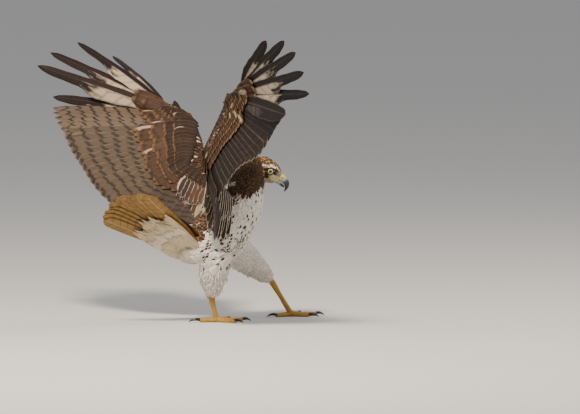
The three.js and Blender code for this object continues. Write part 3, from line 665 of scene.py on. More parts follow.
def zone(point):
    """Names the part of the bird that a point belongs to, with the place along it."""
    spot = on_head_axes(point)
    if (((spot - HEAD_MIDDLE) / HEAD_REACH) ** 2).sum() < 1:
        return "head", spot[0], None
    k = nearest_spine(point)
    inside, up = point - trunk_line[k], np.cross(trunk_way[k], TO_LEFT)
    filled = math.hypot(inside @ TO_LEFT / trunk_size[k][1], inside @ up / trunk_size[k][0])
    for n, (hip, heel) in enumerate(leg_lines):
        way = heel - hip
        t = (point - hip) @ way / (way @ way)
        room = np.interp(t, *THIGH) * MM * THIGH_ROOM
        if t > THIGH_FROM and np.linalg.norm(point - hip - way * t) < room and filled > OUT_OF_TRUNK:
            return "thigh", t, n
    return "trunk", k / (SPINE - 1), None


def body_flow(point):
    """The lie of the feathers: off the face, down the neck, back along the body, down the thighs."""
    kind, t, n = zone(point)
    if kind == "thigh":
        hip, heel = leg_lines[n]
        return unit(heel - hip)
    k = nearest_spine(point)
    back = -trunk_way[k]
    if kind == "head":
        share = np.clip((t - FACE_ENDS) / FACE_SPAN, 0, 1)
        return unit(back * (1 - share) - np.array(HEAD_ALONG) * share + DROOP)
    side = point - trunk_line[k]
    return unit(back + SIDE_DROOP * np.clip(1 - abs(side[2]) / SIDE_DEPTH, 0, 1))


FLESH = ("torso", "neck", "head", "thigh_left", "thigh_right")
joined = bmesh.new()
for node in FLESH:
    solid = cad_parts[node]
    before = len(joined.verts)
    joined.from_mesh(solid.data)
    joined.verts.ensure_lookup_table()
    bmesh.ops.transform(joined, matrix=solid.matrix_world, verts=joined.verts[before:])
rough = bpy.data.meshes.new("rough")
joined.to_mesh(rough)
joined.free()
former = bpy.data.objects.new("former", rough)
bpy.context.scene.collection.objects.link(former)
grow = former.modifiers.new("grow", "DISPLACE")
grow.strength, grow.mid_level = 0.5 * MM, 0
remesh = former.modifiers.new("remesh", "REMESH")
remesh.mode, remesh.voxel_size = "VOXEL", VOXEL
smooth = former.modifiers.new("smooth", "SMOOTH")
smooth.factor, smooth.iterations = 0.5, 14
bpy.context.view_layer.update()
skin_mesh = bpy.data.meshes.new_from_object(former.evaluated_get(bpy.context.evaluated_depsgraph_get()))
bpy.data.objects.remove(former)
points = np.empty(len(skin_mesh.vertices) * 3)
skin_mesh.vertices.foreach_get("co", points)
points = points.reshape(-1, 3)
outward = np.array([v.normal for v in skin_mesh.vertices])
HEAD_ROUND, HEAD_BLEND = 32 * MM, 1.6
head_share = np.clip(HEAD_BLEND - np.linalg.norm((points - head_middle) / HEAD_ROUND, axis=1), 0, 1)[:, None]
points = points - outward * (BODY_DEPTH * (1 - head_share) + HEAD_DEPTH * head_share)
skin_mesh.vertices.foreach_set("co", points.ravel())
skin_mesh.name = "body skin"
for polygon in skin_mesh.polygons:
    polygon.use_smooth = True
unwrap(skin_mesh)
body_skin = Skin(skin_mesh)

under_down, tree, shader = new_material("down over skin")
down_tint = add(tree, "ShaderNodeAttribute", {"attribute_name": "tint"})
tree.links.new(down_tint.outputs["Color"], shader.inputs["Base Color"])
shader.inputs["Roughness"].default_value = 0.95
down_noise = add(tree, "ShaderNodeTexNoise", Vector=on_object(tree), Scale=900.0)
bumped(tree, shader, down_noise.outputs["Fac"], 0.5, 0.8 * MM)
mesh_object("body_skin", skin_mesh, under_down, "plumage_body", *FLESH)


def tinted(mesh, colours):
    """Gives a skin the colours of the feathers that grow on it, one colour for all or one a vertex."""
    layer = mesh.attributes.new("tint", "FLOAT_COLOR", "POINT")
    rows = np.broadcast_to(np.array(colours, dtype=float), (len(mesh.vertices), 4))
    layer.data.foreach_set("color", np.ascontiguousarray(rows).ravel())
    return mesh


# Body plumage: small feathers over the whole skin. The breast is white, the belly carries dark spots,
# the back and neck are brown with rufous rims, and the thighs are finely barred. Marks are the
# strengths of a feather's bars, its spot or pale base, and its rim.
WHITE, CREAM, BUFF, VENT = rgb("#e6e1da"), rgb("#d9cdb8"), rgb("#b99a6d"), rgb("#c9b899")
BROWN, DARK, RUFOUS = rgb("#46301f"), rgb("#21170f"), rgb("#8a5c36")


def blended(first, second, share):
    return tuple(np.array(first) * (1 - share) + np.array(second) * share)


LOWEST_BROWN = 150 * MM
BACK_LIMIT = ([0, 0.2, 0.4, 0.62, 0.72, 0.8, 1], [0.75, 0.7, 0.6, 0.5, -0.1, -0.55, -0.6])
VENT_END, BELLY, BELLY_WIDTH, NECK_FROM, THROAT_FROM = 0.2, 0.42, 0.13, 0.66, 0.8


def body_look(point, normal):
    """Tint and marks of a feather of the trunk or thighs, by its place on the bird."""
    kind, t, _ = zone(point)
    local = (point - ORIGIN) / MM
    if kind == "thigh":
        return jitter(blended(WHITE, BUFF, 0.25 * t), 0.07), (0.45, 0, 0.1)
    k = min(SPINE - 1, int(t * (SPINE - 1)))
    up = np.cross(trunk_way[k], TO_LEFT)
    above = -(up @ normal) if up[2] < 0 else up @ normal
    blotch = noise.noise(Vector(local) * 0.045)
    if above > float(np.interp(t, *BACK_LIMIT)) + 0.2 * blotch and point[2] > LOWEST_BROWN:
        if local[0] < 34 and local[2] > 215 and noise.noise(Vector(local) * 0.08) > 0.18:
            return jitter(CREAM, 0.1), (0.2, 0.8, 0.3)
        if t > NECK_FROM:
            return jitter(blended(BROWN, DARK, 0.3 + 0.4 * rng.random()), 0.12), (0, 0.3, 0.25)
        return jitter(blended(BROWN, DARK, rng.random()), 0.2), (0.1, 0.3, 0.7)
    if t < VENT_END:
        return jitter(blended(WHITE, BUFF, 0.45), 0.08), (0.12, 0, 0.1)
    belly = math.exp(-((t - BELLY) / BELLY_WIDTH) ** 2)
    front = float(np.clip(normal[0] - 0.2, 0, 1))
    dark = rng.random() < (0.45 + 0.5 * front) * belly + (0.08 if t < 0.75 else 0.35)
    if t > THROAT_FROM:
        return jitter(blended(CREAM, BROWN, 0.55 * rng.random()), 0.1), (0, 0.6, 0.2)
    return jitter(blended(WHITE, CREAM, 0.4 * rng.random()), 0.05), (0, 1.0 if dark else 0, 0)


# The face in millimetres from the head's middle: along the head, out and rise.
CHEEK_OUT, BALL_ROUND, DARK_ROUND, BROW_FROM, BROW_TO = 8, 8.0, 9.2, 8.2, 10.6
BROW_BACK, NAPE, CHIN, CHIN_BACK, LORE, LORE_LOW, FACE_FRONT = -14, -21, -14, -16, 11, -4, 12
GAPE_STRIPE, GAPE_STRIPE_FRONT, EAR_STRIPE, EAR_STRIPE_FRONT = -10, 8, (1.5, 4.5), -3
LORE_GREY, CHEEK_GREY = rgb("#8c8377"), rgb("#b3aca3")
BILL_ROOT, CHIN_ROOT, CHIN_TOP = 27, 21, -11


def from_eye(along, rise):
    return math.hypot(along - EYE_AT / MM, rise - EYE_RISE / MM)


def clear_of_eye(point):
    """Keeps feathers off the eyeball and the bill."""
    along, out, rise = on_head_axes(point)
    if along > BILL_ROOT or (along > CHIN_ROOT and rise < CHIN_TOP):
        return False
    return from_eye(along, rise) > BALL_ROUND or abs(out) < CHEEK_OUT


def head_look(point):
    """Crown streaked brown, pale brow, buff cheek, dark ring and lore, grey-brown chin, dark nape."""
    along, out, rise = on_head_axes(point)
    ragged = 2.2 * noise.noise(Vector((along, out, rise)) * 0.25)
    beside = abs(out) > CHEEK_OUT
    if beside and from_eye(along, rise) < DARK_ROUND and rise < BROW_FROM:
        return jitter(DARK, 0.15), (0, 0, 0)
    if rise < CHIN + 0.5 * ragged and along > CHIN_BACK:
        return jitter(blended(CREAM, BROWN, 0.35 + 0.2 * rng.random()), 0.08), (0, 0.2, 0)
    if along < NAPE + ragged:
        return jitter(blended(BROWN, DARK, rng.random()), 0.15), (0, 0.4, 0.2)
    brow = BROW_FROM + 0.2 * ragged
    if beside and along > BROW_BACK and brow < rise < BROW_TO + 0.3 * ragged:
        return jitter(blended(WHITE, CREAM, 0.5 * rng.random()), 0.05), (0, 0, 0)
    if rise >= brow:
        streak = rng.random() < 0.16
        return jitter(BUFF if streak else blended(BROWN, RUFOUS, 0.25 * rng.random()), 0.14), (0, 0.5, 0.2)
    if along > LORE and rise > LORE_LOW + 0.4 * ragged:
        return jitter(blended(DARK, LORE_GREY, float(np.clip((along - 16) / 6, 0, 1))), 0.1), (0, 0, 0)
    if along > FACE_FRONT:
        return jitter(CHEEK_GREY, 0.08), (0, 0, 0)
    if rise < GAPE_STRIPE + 0.5 * ragged and along < GAPE_STRIPE_FRONT:
        return jitter(blended(DARK, BROWN, 0.4), 0.15), (0, 0, 0)
    if along < EAR_STRIPE_FRONT and EAR_STRIPE[0] < rise < EAR_STRIPE[1] + 0.5 * ragged:
        return jitter(blended(BROWN, RUFOUS, 0.3), 0.12), (0, 0.3, 0)
    return jitter(blended(BUFF, RUFOUS, 0.6 * rng.random()), 0.1), (0, 0.45, 0.1)


skin_tints = []
for vertex in skin_mesh.vertices:
    spot = np.array(vertex.co)
    look = head_look(spot) if zone(spot)[0] == "head" else body_look(spot, np.array(vertex.normal))
    skin_tints.append(look[0])
tinted(skin_mesh, skin_tints)

body_web = plumage("body feather keratin", 3.6, 0.3, "#7d5a3f", 0.8, 0.72)
TRUNK_GAP, THIGH_GAP, HEAD_GAP = 5.2 * MM, 4.4 * MM, 2.3 * MM
GAP_SHARES = ([0, 0.6, 0.85, 1], [1, 1, 0.72, 0.55])
TRUNK_LENGTHS = ([0, 0.3, 0.7, 1], [25, 24, 20, 13])
HEAD_LENGTHS = ([-30, 0, 15, 24], [12, 8, 5.5, 3.5])
THIGH_LENGTH, THIGH_HALF, TRUNK_HALF, HEAD_HALF = 19 * MM, 2.6 * MM, 0.25, 0.24
THIGH_LAY, TRUNK_LAY, HEAD_LAY = (0.6 * MM, 2.6 * MM), (0.8 * MM, 2.6 * MM), (0.4 * MM, 1.2 * MM)
BODY_TRIES = 60000
back_coat, breast_coat, thigh_coat, head_coat = Coat(5, 3), Coat(5, 3), Coat(5, 3), Coat(4, 3)


def root_gap(point):
    kind, t, _ = zone(point)
    if kind == "head":
        return HEAD_GAP
    if kind == "thigh":
        return THIGH_GAP
    return TRUNK_GAP * float(np.interp(t, *GAP_SHARES))


for root in body_skin.roots(root_gap, BODY_TRIES):
    kind, t, _ = zone(root)
    _, normal, _ = body_skin.nearest(root)
    if kind == "head":
        if not clear_of_eye(root):
            continue
        tint, marks = head_look(root)
        length = float(np.interp(on_head_axes(root)[0], *HEAD_LENGTHS)) * MM
        lay_vane(head_coat, body_skin, root, body_flow, length, length * HEAD_HALF, *HEAD_LAY, tint, marks,
                 keep=clear_of_eye, thick=0.22 * MM)
        continue
    tint, marks = body_look(root, normal)
    length = float(np.interp(t, *TRUNK_LENGTHS)) * MM * rng.uniform(0.85, 1.15)
    if kind == "thigh":
        loose = rng.random() < 0.3
        length = THIGH_LENGTH * rng.uniform(0.85, 1.7 if loose else 1.2)
        curl = rng.uniform(1, 5.5 if loose else 2) * MM
        lay_vane(thigh_coat, body_skin, root, body_flow, length, THIGH_HALF, *THIGH_LAY, tint, marks,
                 curl=curl)
    else:
        coat = back_coat if normal[2] > 0.1 or normal[0] < -0.6 else breast_coat
        lay_vane(coat, body_skin, root, body_flow, length, length * TRUNK_HALF, *TRUNK_LAY, tint, marks,
                 curl=rng.uniform(0, 0.9) * MM)

coat_piece("back_feathers", back_coat, body_web, "plumage_body")
coat_piece("breast_feathers", breast_coat, body_web, "plumage_body")
coat_piece("thigh_feathers", thigh_coat, body_web, "plumage_body")
coat_piece("head_feathers", head_coat, body_web, "plumage_head")


# Wing feathers: primaries, secondaries, coverts, arm skin, small coverts and alula, a piece of each to a
# wing. Marks are the strengths of a feather's bars, its spot or pale base, and its rim.
STRIP_SHARE = 0.94           # how much of its place on the bake map a feather fills


def strips(count, columns):
    """Patches in rows on the bake map, one for each feather."""
    rows = math.ceil(count / columns)
    wide, high = STRIP_SHARE / columns, STRIP_SHARE / rows
    return [((k % columns) / columns, (k // columns) / rows, wide, high) for k in range(count)]


finger_webs = {name: plumage("primary feather keratin " + name[5:], 10.0, 0.34, "#1c130d", 0.975, 0.5,
                             side_rim=0.5, edge_colour="#7d6a57", pale_base=base)
               for name, base in (("wing_left", "#b3a08a"), ("wing_right", "#b7a892"))}
secondary_web = plumage("secondary feather keratin", 8.0, 0.4, "#120c09", 0.975, 0.55,
                        side_rim=0.12, edge_colour="#c3b5a2")
covert_web = plumage("covert feather keratin", 2.6, 0.3, "#1c1410", 0.9, 0.6,
                     side_rim=0.45, edge_colour="#8a6747", spot_colour="#b5a58f")
# Feather tints of each wing. The right wing's fingers, inner primaries, secondaries and tertials are far
# darker than the same feathers on the left: painted shade, as that wing's upper side lies in shade. The
# coverts and small coverts keep alike browns on both wings.
WING_TINTS_RIGHT_PAINTED_SHADE = {
    "wing_left": {"finger": "#20140e", "inner": "#5f4f40", "secondary": "#524436", "tertial": "#42342a",
                  "covert": "#432f22", "small": "#2b1d15"},
    "wing_right": {"finger": "#0b0706", "inner": "#130d0a", "secondary": "#211710", "tertial": "#33251b",
                   "covert": "#3a291d", "small": "#2f2118"},
}
# How strongly the primaries show their pale bases; on the right wing they are nearly hidden as painted
# shade.
PALE_BASE = {"wing_left": 0.5, "wing_right": 0.08}
LINING = rgb("#c7b59a")

# Rows of coverts: first feather, reach on the hand and on the arm as shares of the flight feather, how far
# the roots lie ahead, rise and starting height, and the shade. Rows below the wing have a negative rise.
TIERS = [(2, 0.34, 0.47, 12, 5.0, 0, "covert"), (3, 0.26, 0.37, 19, 7.2, 1, "covert"),
         (4, 0.2, 0.29, 25, 8.6, 2, "small"), (5, 0.16, 0.22, 29, 9.4, 3, "small"),
         (3, 0.36, 0.42, 10, -4.0, 0, "covert"), (4, 0.24, 0.28, 20, -6.5, -1, "covert")]
LINING_STOPS = 7             # how many of the innermost feathers carry no lining
COVERT_THICK = 0.45 * MM
ARM_STARTS, ARM_EDGE, HAND_STATION = 0.15, 3 * MM, 45 * MM
ARM_TALL, ARM_TIP_HALF = np.array([10.5, 8, 6, 4, 2.3]) * MM, 3.5 * MM
SMALL_GAP, SMALL_TRIES, SMALL_LAY, SMALL_HALF = 4.3 * MM, 26000, (0.4 * MM, 1.9 * MM), 0.27
SMALL_LONG, SMALL_SHORTER, NEAR_ROOTS = 19, 9, 45 * MM
FLOW_SOFTNESS, DORSAL_AT, UNDER_LIMIT = 0.0004, np.array([0.12]), -0.75
ALULA_LENGTH, ALULA_SHORTER, ALULA_ROOT = 86 * MM, 12 * MM, 4 * MM
ALULA_OPEN, ALULA_CLOSING, ALULA_RISE, ALULA_STEP = 0.3, 0.1, 1 * MM, 1.6 * MM


def lay_flight(wing, row, look):
    """The primaries in one piece, the secondaries and tertials in another."""
    flight, broad = Coat(26, 9), Coat(22, 9)
    patches = strips(PRIMARIES, 5) + strips(len(row) - PRIMARIES, 6)
    for i, patch in enumerate(patches):
        coat, form, shade, marks = broad, "secondary", "secondary", (0.7, 0, 1.0)
        if i < FINGERS:
            coat, form, shade, marks = flight, "finger", "finger", (0.3, 0.85, 0.3)
        elif i < PRIMARIES:
            coat, form, shade, marks = flight, "primary", "inner", (0.9, PALE_BASE[wing["name"]], 0.5)
        elif i >= PRIMARIES + SECONDARIES:
            shade = "tertial"
        add_row_vane(coat, wing, row, i, form, jitter(look[shade], 0.06), marks, patch)
    coat_piece(wing["name"] + "_primaries", flight, finger_webs[wing["name"]], "plumage_wing", wing["name"])
    coat_piece(wing["name"] + "_secondaries", broad, secondary_web, "plumage_wing")


def lay_coverts(wing, row, look):
    """The tiers of coverts above the flight feathers and the pale linings below them."""
    coverts = Coat(8, 5)
    patches = iter(strips(sum(len(row) - tier[0] for tier in TIERS), 12))
    for first, hand_reach, arm_reach, back, rise, start, shade in TIERS:
        above = rise > 0
        for i in range(first, len(row) - (0 if above else LINING_STOPS)):
            reach = hand_reach if i < PRIMARIES else arm_reach
            pale = above and rng.random() < (0.2 if i < PRIMARIES + 2 else 0.05)
            marks = (0.5, 0.7 if pale else 0, 0.8) if above else (0.3, 0.2, 0.2)
            tint = jitter(look[shade] if above else LINING, 0.14)
            add_row_vane(coverts, wing, row, i, "covert", tint, marks, next(patches),
                         reach=reach * rng.uniform(0.95, 1.05), back=back * MM, rise=rise * MM,
                         start=start * MM, thick=COVERT_THICK)
    coat_piece(wing["name"] + "_coverts", coverts, covert_web, "plumage_wing")


def arm_skin(wing):
    """The arm with its leading membrane, from the shoulder to the end of the hand."""
    shoulder, elbow, wrist = (place(wing[k]) for k in ("shoulder", "elbow", "wrist"))
    hand = direction(wing["hand_sweep"], wing["hand_lift"], wing["side"])
    rear = [shoulder + (elbow - shoulder) * ARM_STARTS, elbow, wrist, wrist + hand * HAND_STATION,
            wrist + hand * (HAND_LENGTH + 4 * MM)]
    chords = [place(front) - back for front, back in zip(wing["front"], rear)]
    chords.append(chords[3])
    middles = [r + c * (0.5 if i < 4 else 0) for i, (r, c) in enumerate(zip(rear, chords))]
    wides = [np.linalg.norm(c) / 2 + ARM_EDGE for c in chords[:4]] + [ARM_TIP_HALF]
    return loft(middles, [unit(c) for c in chords], wides, ARM_TALL, 60, 36)


def lay_small_coverts(wing, row, look):
    """The arm's skin and small feathers over it, dark above and pale below, in line with the rows."""
    arm_mesh = tinted(finished(arm_skin(wing), wing["name"] + " arm skin"), look["small"])
    mesh_object(wing["name"] + "_arm", arm_mesh, under_down, "plumage_wing")
    arm = Skin(arm_mesh)
    roots, ways = (np.array([feather[key] for feather in row]) for key in ("root", "out"))
    backs = np.array([row_frame(wing, row, i, DORSAL_AT)[2][0] for i in range(len(row))])

    def wing_flow(point):
        weights = 1 / (((roots - point) ** 2).sum(1) + FLOW_SOFTNESS) ** 2
        return unit((ways * weights[:, None]).sum(0))

    small = Coat(5, 3)
    for root in arm.roots(lambda point: SMALL_GAP, SMALL_TRIES):
        spot, normal, _ = arm.nearest(root)
        far = np.linalg.norm(roots - spot, axis=1)
        length = (SMALL_LONG - SMALL_SHORTER * min(far.min() / NEAR_ROOTS, 1)) * MM * rng.uniform(0.9, 1.1)
        if normal @ backs[np.argmin(far)] > UNDER_LIMIT:
            pale = rng.random() < 0.05
            tint = jitter(CREAM if pale else blended(look["small"], look["covert"], rng.random()), 0.18)
            marks = (0, 0.25 * (rng.random() < 0.25), 0.95)
        else:
            tint, marks = jitter(blended(CREAM, RUFOUS, 0.3 * rng.random()), 0.08), (0.2, 0, 0.3)
        lay_vane(small, arm, spot, wing_flow, length, length * SMALL_HALF, *SMALL_LAY, tint, marks)
    coat_piece(wing["name"] + "_small_coverts", small, covert_web, "plumage_wing")


def lay_alula(wing, look):
    """Three short stiff feathers on the front edge of the hand."""
    alula = Coat(12, 7)
    wrist = place(wing["wrist"])
    hand = direction(wing["hand_sweep"], wing["hand_lift"], wing["side"])
    lead = place(wing["front"][3]) - wrist
    lead = unit(lead - hand * (lead @ hand))
    dorsal = np.cross(hand, lead) * -wing["side"]
    t, outer, inner = curves_of("alula", alula.rows)
    for k, patch in enumerate(strips(3, 3)):
        out = unit(hand + lead * (ALULA_OPEN - ALULA_CLOSING * k))
        across = -unit(lead - out * (lead @ out))
        root = wrist + hand * ALULA_ROOT + dorsal * (ALULA_STEP * k + ALULA_RISE)
        middles = root + out * (t * (ALULA_LENGTH - ALULA_SHORTER * k))[:, None]
        alula.add(middles, np.broadcast_to(across, middles.shape), np.broadcast_to(dorsal, middles.shape),
                  outer, inner, 0.6 * MM, jitter(look["finger"], 0.08), (0.1, 0, 0.4), patch, RIDGE)
    coat_piece(wing["name"] + "_alula", alula, secondary_web, "plumage_wing")


for wing in WINGS:
    look = {key: rgb(value) for key, value in WING_TINTS_RIGHT_PAINTED_SHADE[wing["name"]].items()}
    row = wing_row(wing)
    lay_flight(wing, row, look)
    lay_coverts(wing, row, look)
    lay_small_coverts(wing, row, look)
    lay_alula(wing, look)


# Scapulars: long loose feathers that hang from the shoulder over the joint of wing and body. Each side
# has its upper and lower root, the way the feathers hang and face, and the longest one.
SCAPULARS = {RIGHT: ((-58, -74, 320), (0, -52, 264), (-0.12, 0.02, -1.0), (-0.5, -0.86, 0.12), 112),
             LEFT: ((-14, 108, 292), (-2, 40, 268), (-0.46, -0.2, -0.82), (-0.7, -0.35, 0.6), 84)}
SCAPULAR_ROW, SCAPULAR_WIDTH, SCAPULAR_BOW, SCAPULAR_FAN = 12, 0.85, 4 * MM, np.array((0.16, 0, 0))
SCAPULAR_THICK = 0.45 * MM
SCAPULAR_DARK = "#2f2119"
SCAPULAR_SHADES = (SCAPULAR_DARK, "#49321f", "#34251b", "#3d2a1c", "#a8967c")


def scapulars(side):
    """Two layers of a side's scapulars, the longest in the middle."""
    upper, lower, down, facing, longest = SCAPULARS[side]
    upper, lower = place(upper), place(lower)
    coat = Coat(12, 7)
    share, outer, inner = curves_of("alula", coat.rows)
    for k, patch in enumerate(strips(2 * SCAPULAR_ROW, 8)):
        layer, t = k // SCAPULAR_ROW, (k % SCAPULAR_ROW + 0.5) / SCAPULAR_ROW
        out = unit(np.array(down) + SCAPULAR_FAN * (t - 0.5))
        normal = unit(facing - out * (np.array(facing) @ out))
        root = upper * (1 - t) + lower * t + normal * (3.0 + 3.5 * layer + 1.2 * (k % 2)) * MM
        length = longest * (0.72 + 0.28 * math.sin(math.pi * t)) * (1 - 0.36 * layer) * MM
        length *= rng.uniform(0.88, 1.08)
        bow = SCAPULAR_BOW * np.sin(share * 2.4)
        middles = root + out * (share * length)[:, None] + normal * bow[:, None]
        across = np.broadcast_to(np.cross(normal, out), middles.shape)
        shade = SCAPULAR_DARK if side == RIGHT else SCAPULAR_SHADES[int(rng.integers(5))]
        coat.add(middles, across, np.broadcast_to(normal, middles.shape), outer * SCAPULAR_WIDTH,
                 inner * SCAPULAR_WIDTH, SCAPULAR_THICK, jitter(rgb(shade), 0.15), (0.2, 0, 1.0), patch,
                 RIDGE)
    return coat


scapular_web = plumage("scapular feather keratin", 4.0, 0.2, "#1c1410", 0.93, 0.6,
                       side_rim=1.5, edge_colour="#d3c8b8")
for wing in WINGS:
    coat_piece("scapulars_" + wing["name"][5:], scapulars(wing["side"]), scapular_web, "plumage_wing")


# Tail: twelve feathers in a fan that is rolled to show its underside, with coverts over and under the roots.
TAIL_ROOT = place((-52, 0, 152))
TAIL_SWING, TAIL_LIFT, TAIL_ROLL, TAIL_FAN = (math.radians(angle) for angle in (3, 29, 31, 26))
TAIL_LENGTH, RECTRICES, TAIL_ROUND = 228 * MM, 12, 0.08
TAIL_ALONG = unit(np.array((-math.cos(TAIL_SWING), -math.sin(TAIL_SWING), math.tan(TAIL_LIFT))))
TAIL_ACROSS = np.array(Matrix.Rotation(TAIL_ROLL, 3, Vector(TAIL_ALONG)) @
                       Vector((-math.sin(TAIL_SWING), math.cos(TAIL_SWING), 0)))
TAIL_TOP = -np.cross(TAIL_ALONG, TAIL_ACROSS)
FORMS["rectrix"] = ([0, 0.14, 0.35, 0.8, 0.93, 0.98, 1], [3, 9, 15, 17, 16, 11, 4],
                    [3, 10, 17, 20, 18, 12, 4])
FORMS["tail covert"] = ([0, 0.25, 0.6, 0.85, 1], [3, 8, 10, 7, 1.5], [3, 8, 10, 7, 1.5])


COVERT_BOW, TAIL_COVERTS, COVERT_FAN = 2.4 * MM, 13, 0.46
# Rows of tail coverts: height above the tail's middle and length in millimetres, colour, and marks.
TAIL_TIERS = [(8, 118, BROWN, (0.1, 0.2, 0.8)), (10, 92, BROWN, (0, 0.3, 0.8)),
              (-8, 150, VENT, (0.3, 0, 0.2)), (-10.5, 128, VENT, (0.2, 0, 0.1)),
              (-13, 104, CREAM, (0.12, 0, 0.1)), (-15.5, 80, VENT, (0.1, 0, 0.1))]
# The tail's root skin: how far along the tail, how far up, half width and half height.
TAIL_SKIN = [(-6, -4, 22, 13), (22, -5, 25, 14), (50, -5, 27, 10), (78, -4, 26, 4), (90, -3, 18, 1.2)]


def tail_fan(coat, count, fan, length, spread, level, step, form, look, marks, thick, uneven):
    """One fan of feathers. Its middle pair lies highest, and the coverts bow away from the tail."""
    for i, patch in enumerate(strips(count, count)):
        t = i / (count - 1) - 0.5
        rank = math.floor(abs(i - (count - 1) / 2))
        height = (level - step * rank - (step if t < 0 else 0)) * MM
        out = TAIL_ALONG * math.cos(t * fan) + TAIL_ACROSS * math.sin(t * fan)
        root = TAIL_ROOT + TAIL_ACROSS * t * spread * MM + TAIL_TOP * height
        reach = length * (1 - TAIL_ROUND * 4 * t * t) * rng.uniform(1 - uneven, 1)
        share, outer, inner = curves_of(form, coat.rows)
        middles = root + out * (share * reach)[:, None]
        if form == "tail covert":
            middles = middles + TAIL_TOP * (math.copysign(COVERT_BOW, level) * np.sin(share * 2.6))[:, None]
        across = np.broadcast_to(np.cross(TAIL_TOP, out), middles.shape)
        coat.add(middles, across, np.broadcast_to(TAIL_TOP, middles.shape), outer, inner, thick,
                 jitter(look, 0.05), marks, patch, -RIDGE if level < 0 else RIDGE)


# Tail feathers: tan with brown bars and pale shafts. Their dark brown rims are partly painted shade along
# the sides, where one feather overlaps the next, and partly the feathers' own browner tips.
rectrix_web = plumage("tail feather keratin", 12.0, 0.3, "#54391a", 0.98, 0.55,
                      side_rim=1.0, edge_colour="#54391a", shaft_colour="#c9b68a")
rectrices, tail_coverts = Coat(28, 9), Coat(10, 5)
tail_fan(rectrices, RECTRICES, TAIL_FAN, TAIL_LENGTH, 34, 2, 1.5, "rectrix", rgb("#93723f"),
         (0.4, 0, 0.75), 0.6 * MM, 0.05)
coat_piece("tail_rectrices", rectrices, rectrix_web, "plumage_tail", "tail")
for level, length, look, marks in TAIL_TIERS:
    tail_fan(tail_coverts, TAIL_COVERTS, COVERT_FAN, length * MM, 40, level, 0.5, "tail covert", look,
             marks, 0.4 * MM, 0.16)
coat_piece("tail_coverts", tail_coverts, body_web, "plumage_tail")
root_line = [TAIL_ROOT + TAIL_ALONG * a * MM + TAIL_TOP * u * MM for a, u, _, _ in TAIL_SKIN]
_, _, root_wides, root_talls = np.array(TAIL_SKIN).T * MM
root_skin = finished(tube(root_line, TAIL_ACROSS, root_wides, root_talls, 30, 32), "tail root skin")
mesh_object("tail_root", tinted(root_skin, VENT), under_down, "plumage_tail")


# Eyes: a moist ball with a pale yellow iris, a black pupil and a dark ring, inside a dark lid.
IRIS = ((0.0, "#050404"), (0.42, "#060505"), (0.46, "#8a7440"), (0.58, "#d6c889"), (0.69, "#b39c55"),
        (0.74, "#1a1410"), (1.0, "#0c0908"))
LID_RADIUS, LID_THICK, LID_OUT, LID_LEAN = 7.2 * MM, 1.25 * MM, 22.5 * MM, 0.22
LID_LOW, LID_FLAT, LID_POINTS = 0.92, 0.75, 25


def eye_material():
    """The iris as rings of colour about the way the eye looks, under a clear wet coat."""
    material, tree, shader = new_material("moist cornea and iris")
    ramp = add(tree, "ShaderNodeValToRGB", Fac=carried(tree, "gaze")["X"])
    ramp.color_ramp.elements.remove(ramp.color_ramp.elements[1])
    for spot, code in IRIS:
        ramp.color_ramp.elements.new(spot).color = rgb(code)
    streaks = add(tree, "ShaderNodeTexNoise", Scale=900.0, Detail=2.0, Vector=on_object(tree)).outputs["Fac"]
    toned = grained(tree, ramp.outputs["Color"], streaks, 0.8, 1.15)
    tree.links.new(toned, shader.inputs["Base Color"])
    for name, value in (("Roughness", 0.12), ("Coat Weight", 1.0), ("Coat Roughness", 0.03)):
        shader.inputs[name].default_value = value
    return material


def eyeball(middle, gaze_way):
    """A ball that carries how far each point lies from the middle of its pupil."""
    bm = bmesh.new()
    bmesh.ops.create_uvsphere(bm, u_segments=64, v_segments=48, radius=EYE_RADIUS)
    layer = bm.verts.layers.float_vector.new("gaze")
    turn = Vector((0, 0, 1)).rotation_difference(gaze_way)
    for vert in bm.verts:
        away = math.hypot(vert.co.x, vert.co.y) if vert.co.z > 0 else EYE_RADIUS * 2
        vert[layer] = (min(1, away / EYE_RADIUS), 0, 0)
        vert.co = turn @ vert.co + middle
    for face in bm.faces:
        face.smooth = True
    return bm


def lid_ring(middle, gaze_way):
    """The lid's rim, a flattened ring about the way the eye looks."""
    aside = gaze_way.cross(HEAD_UP).normalized()
    above = aside.cross(gaze_way) * LID_LOW
    turns = (2 * math.pi * k / (LID_POINTS - 1) for k in range(LID_POINTS))
    ring = [np.array(middle + (aside * math.cos(a) + above * math.sin(a)) * LID_RADIUS) for a in turns]
    wides = np.full(LID_POINTS, LID_THICK)
    return tube(ring, np.array(gaze_way), wides, wides * LID_FLAT, 72, 12)


wet_eye = eye_material()
lid_skin = plain_material("lid skin", "#2b241e", 0.55)
SIDES = ((LEFT, "left"), (RIGHT, "right"))
for side, name in SIDES:
    socket = HEAD_CENTRE + HEAD_ALONG * EYE_AT + HEAD_UP * EYE_RISE
    gaze_way = (HEAD_LEFT * side + HEAD_ALONG * LID_LEAN).normalized()
    ball = eyeball(socket + HEAD_LEFT * side * EYE_OUT, gaze_way)
    loft_piece("eye_" + name, ball, wet_eye, "eye", "eye_" + name)
    lid = lid_ring(socket + HEAD_LEFT * side * LID_OUT, gaze_way)
    loft_piece("lid_" + name, lid, lid_skin, "plumage_head")


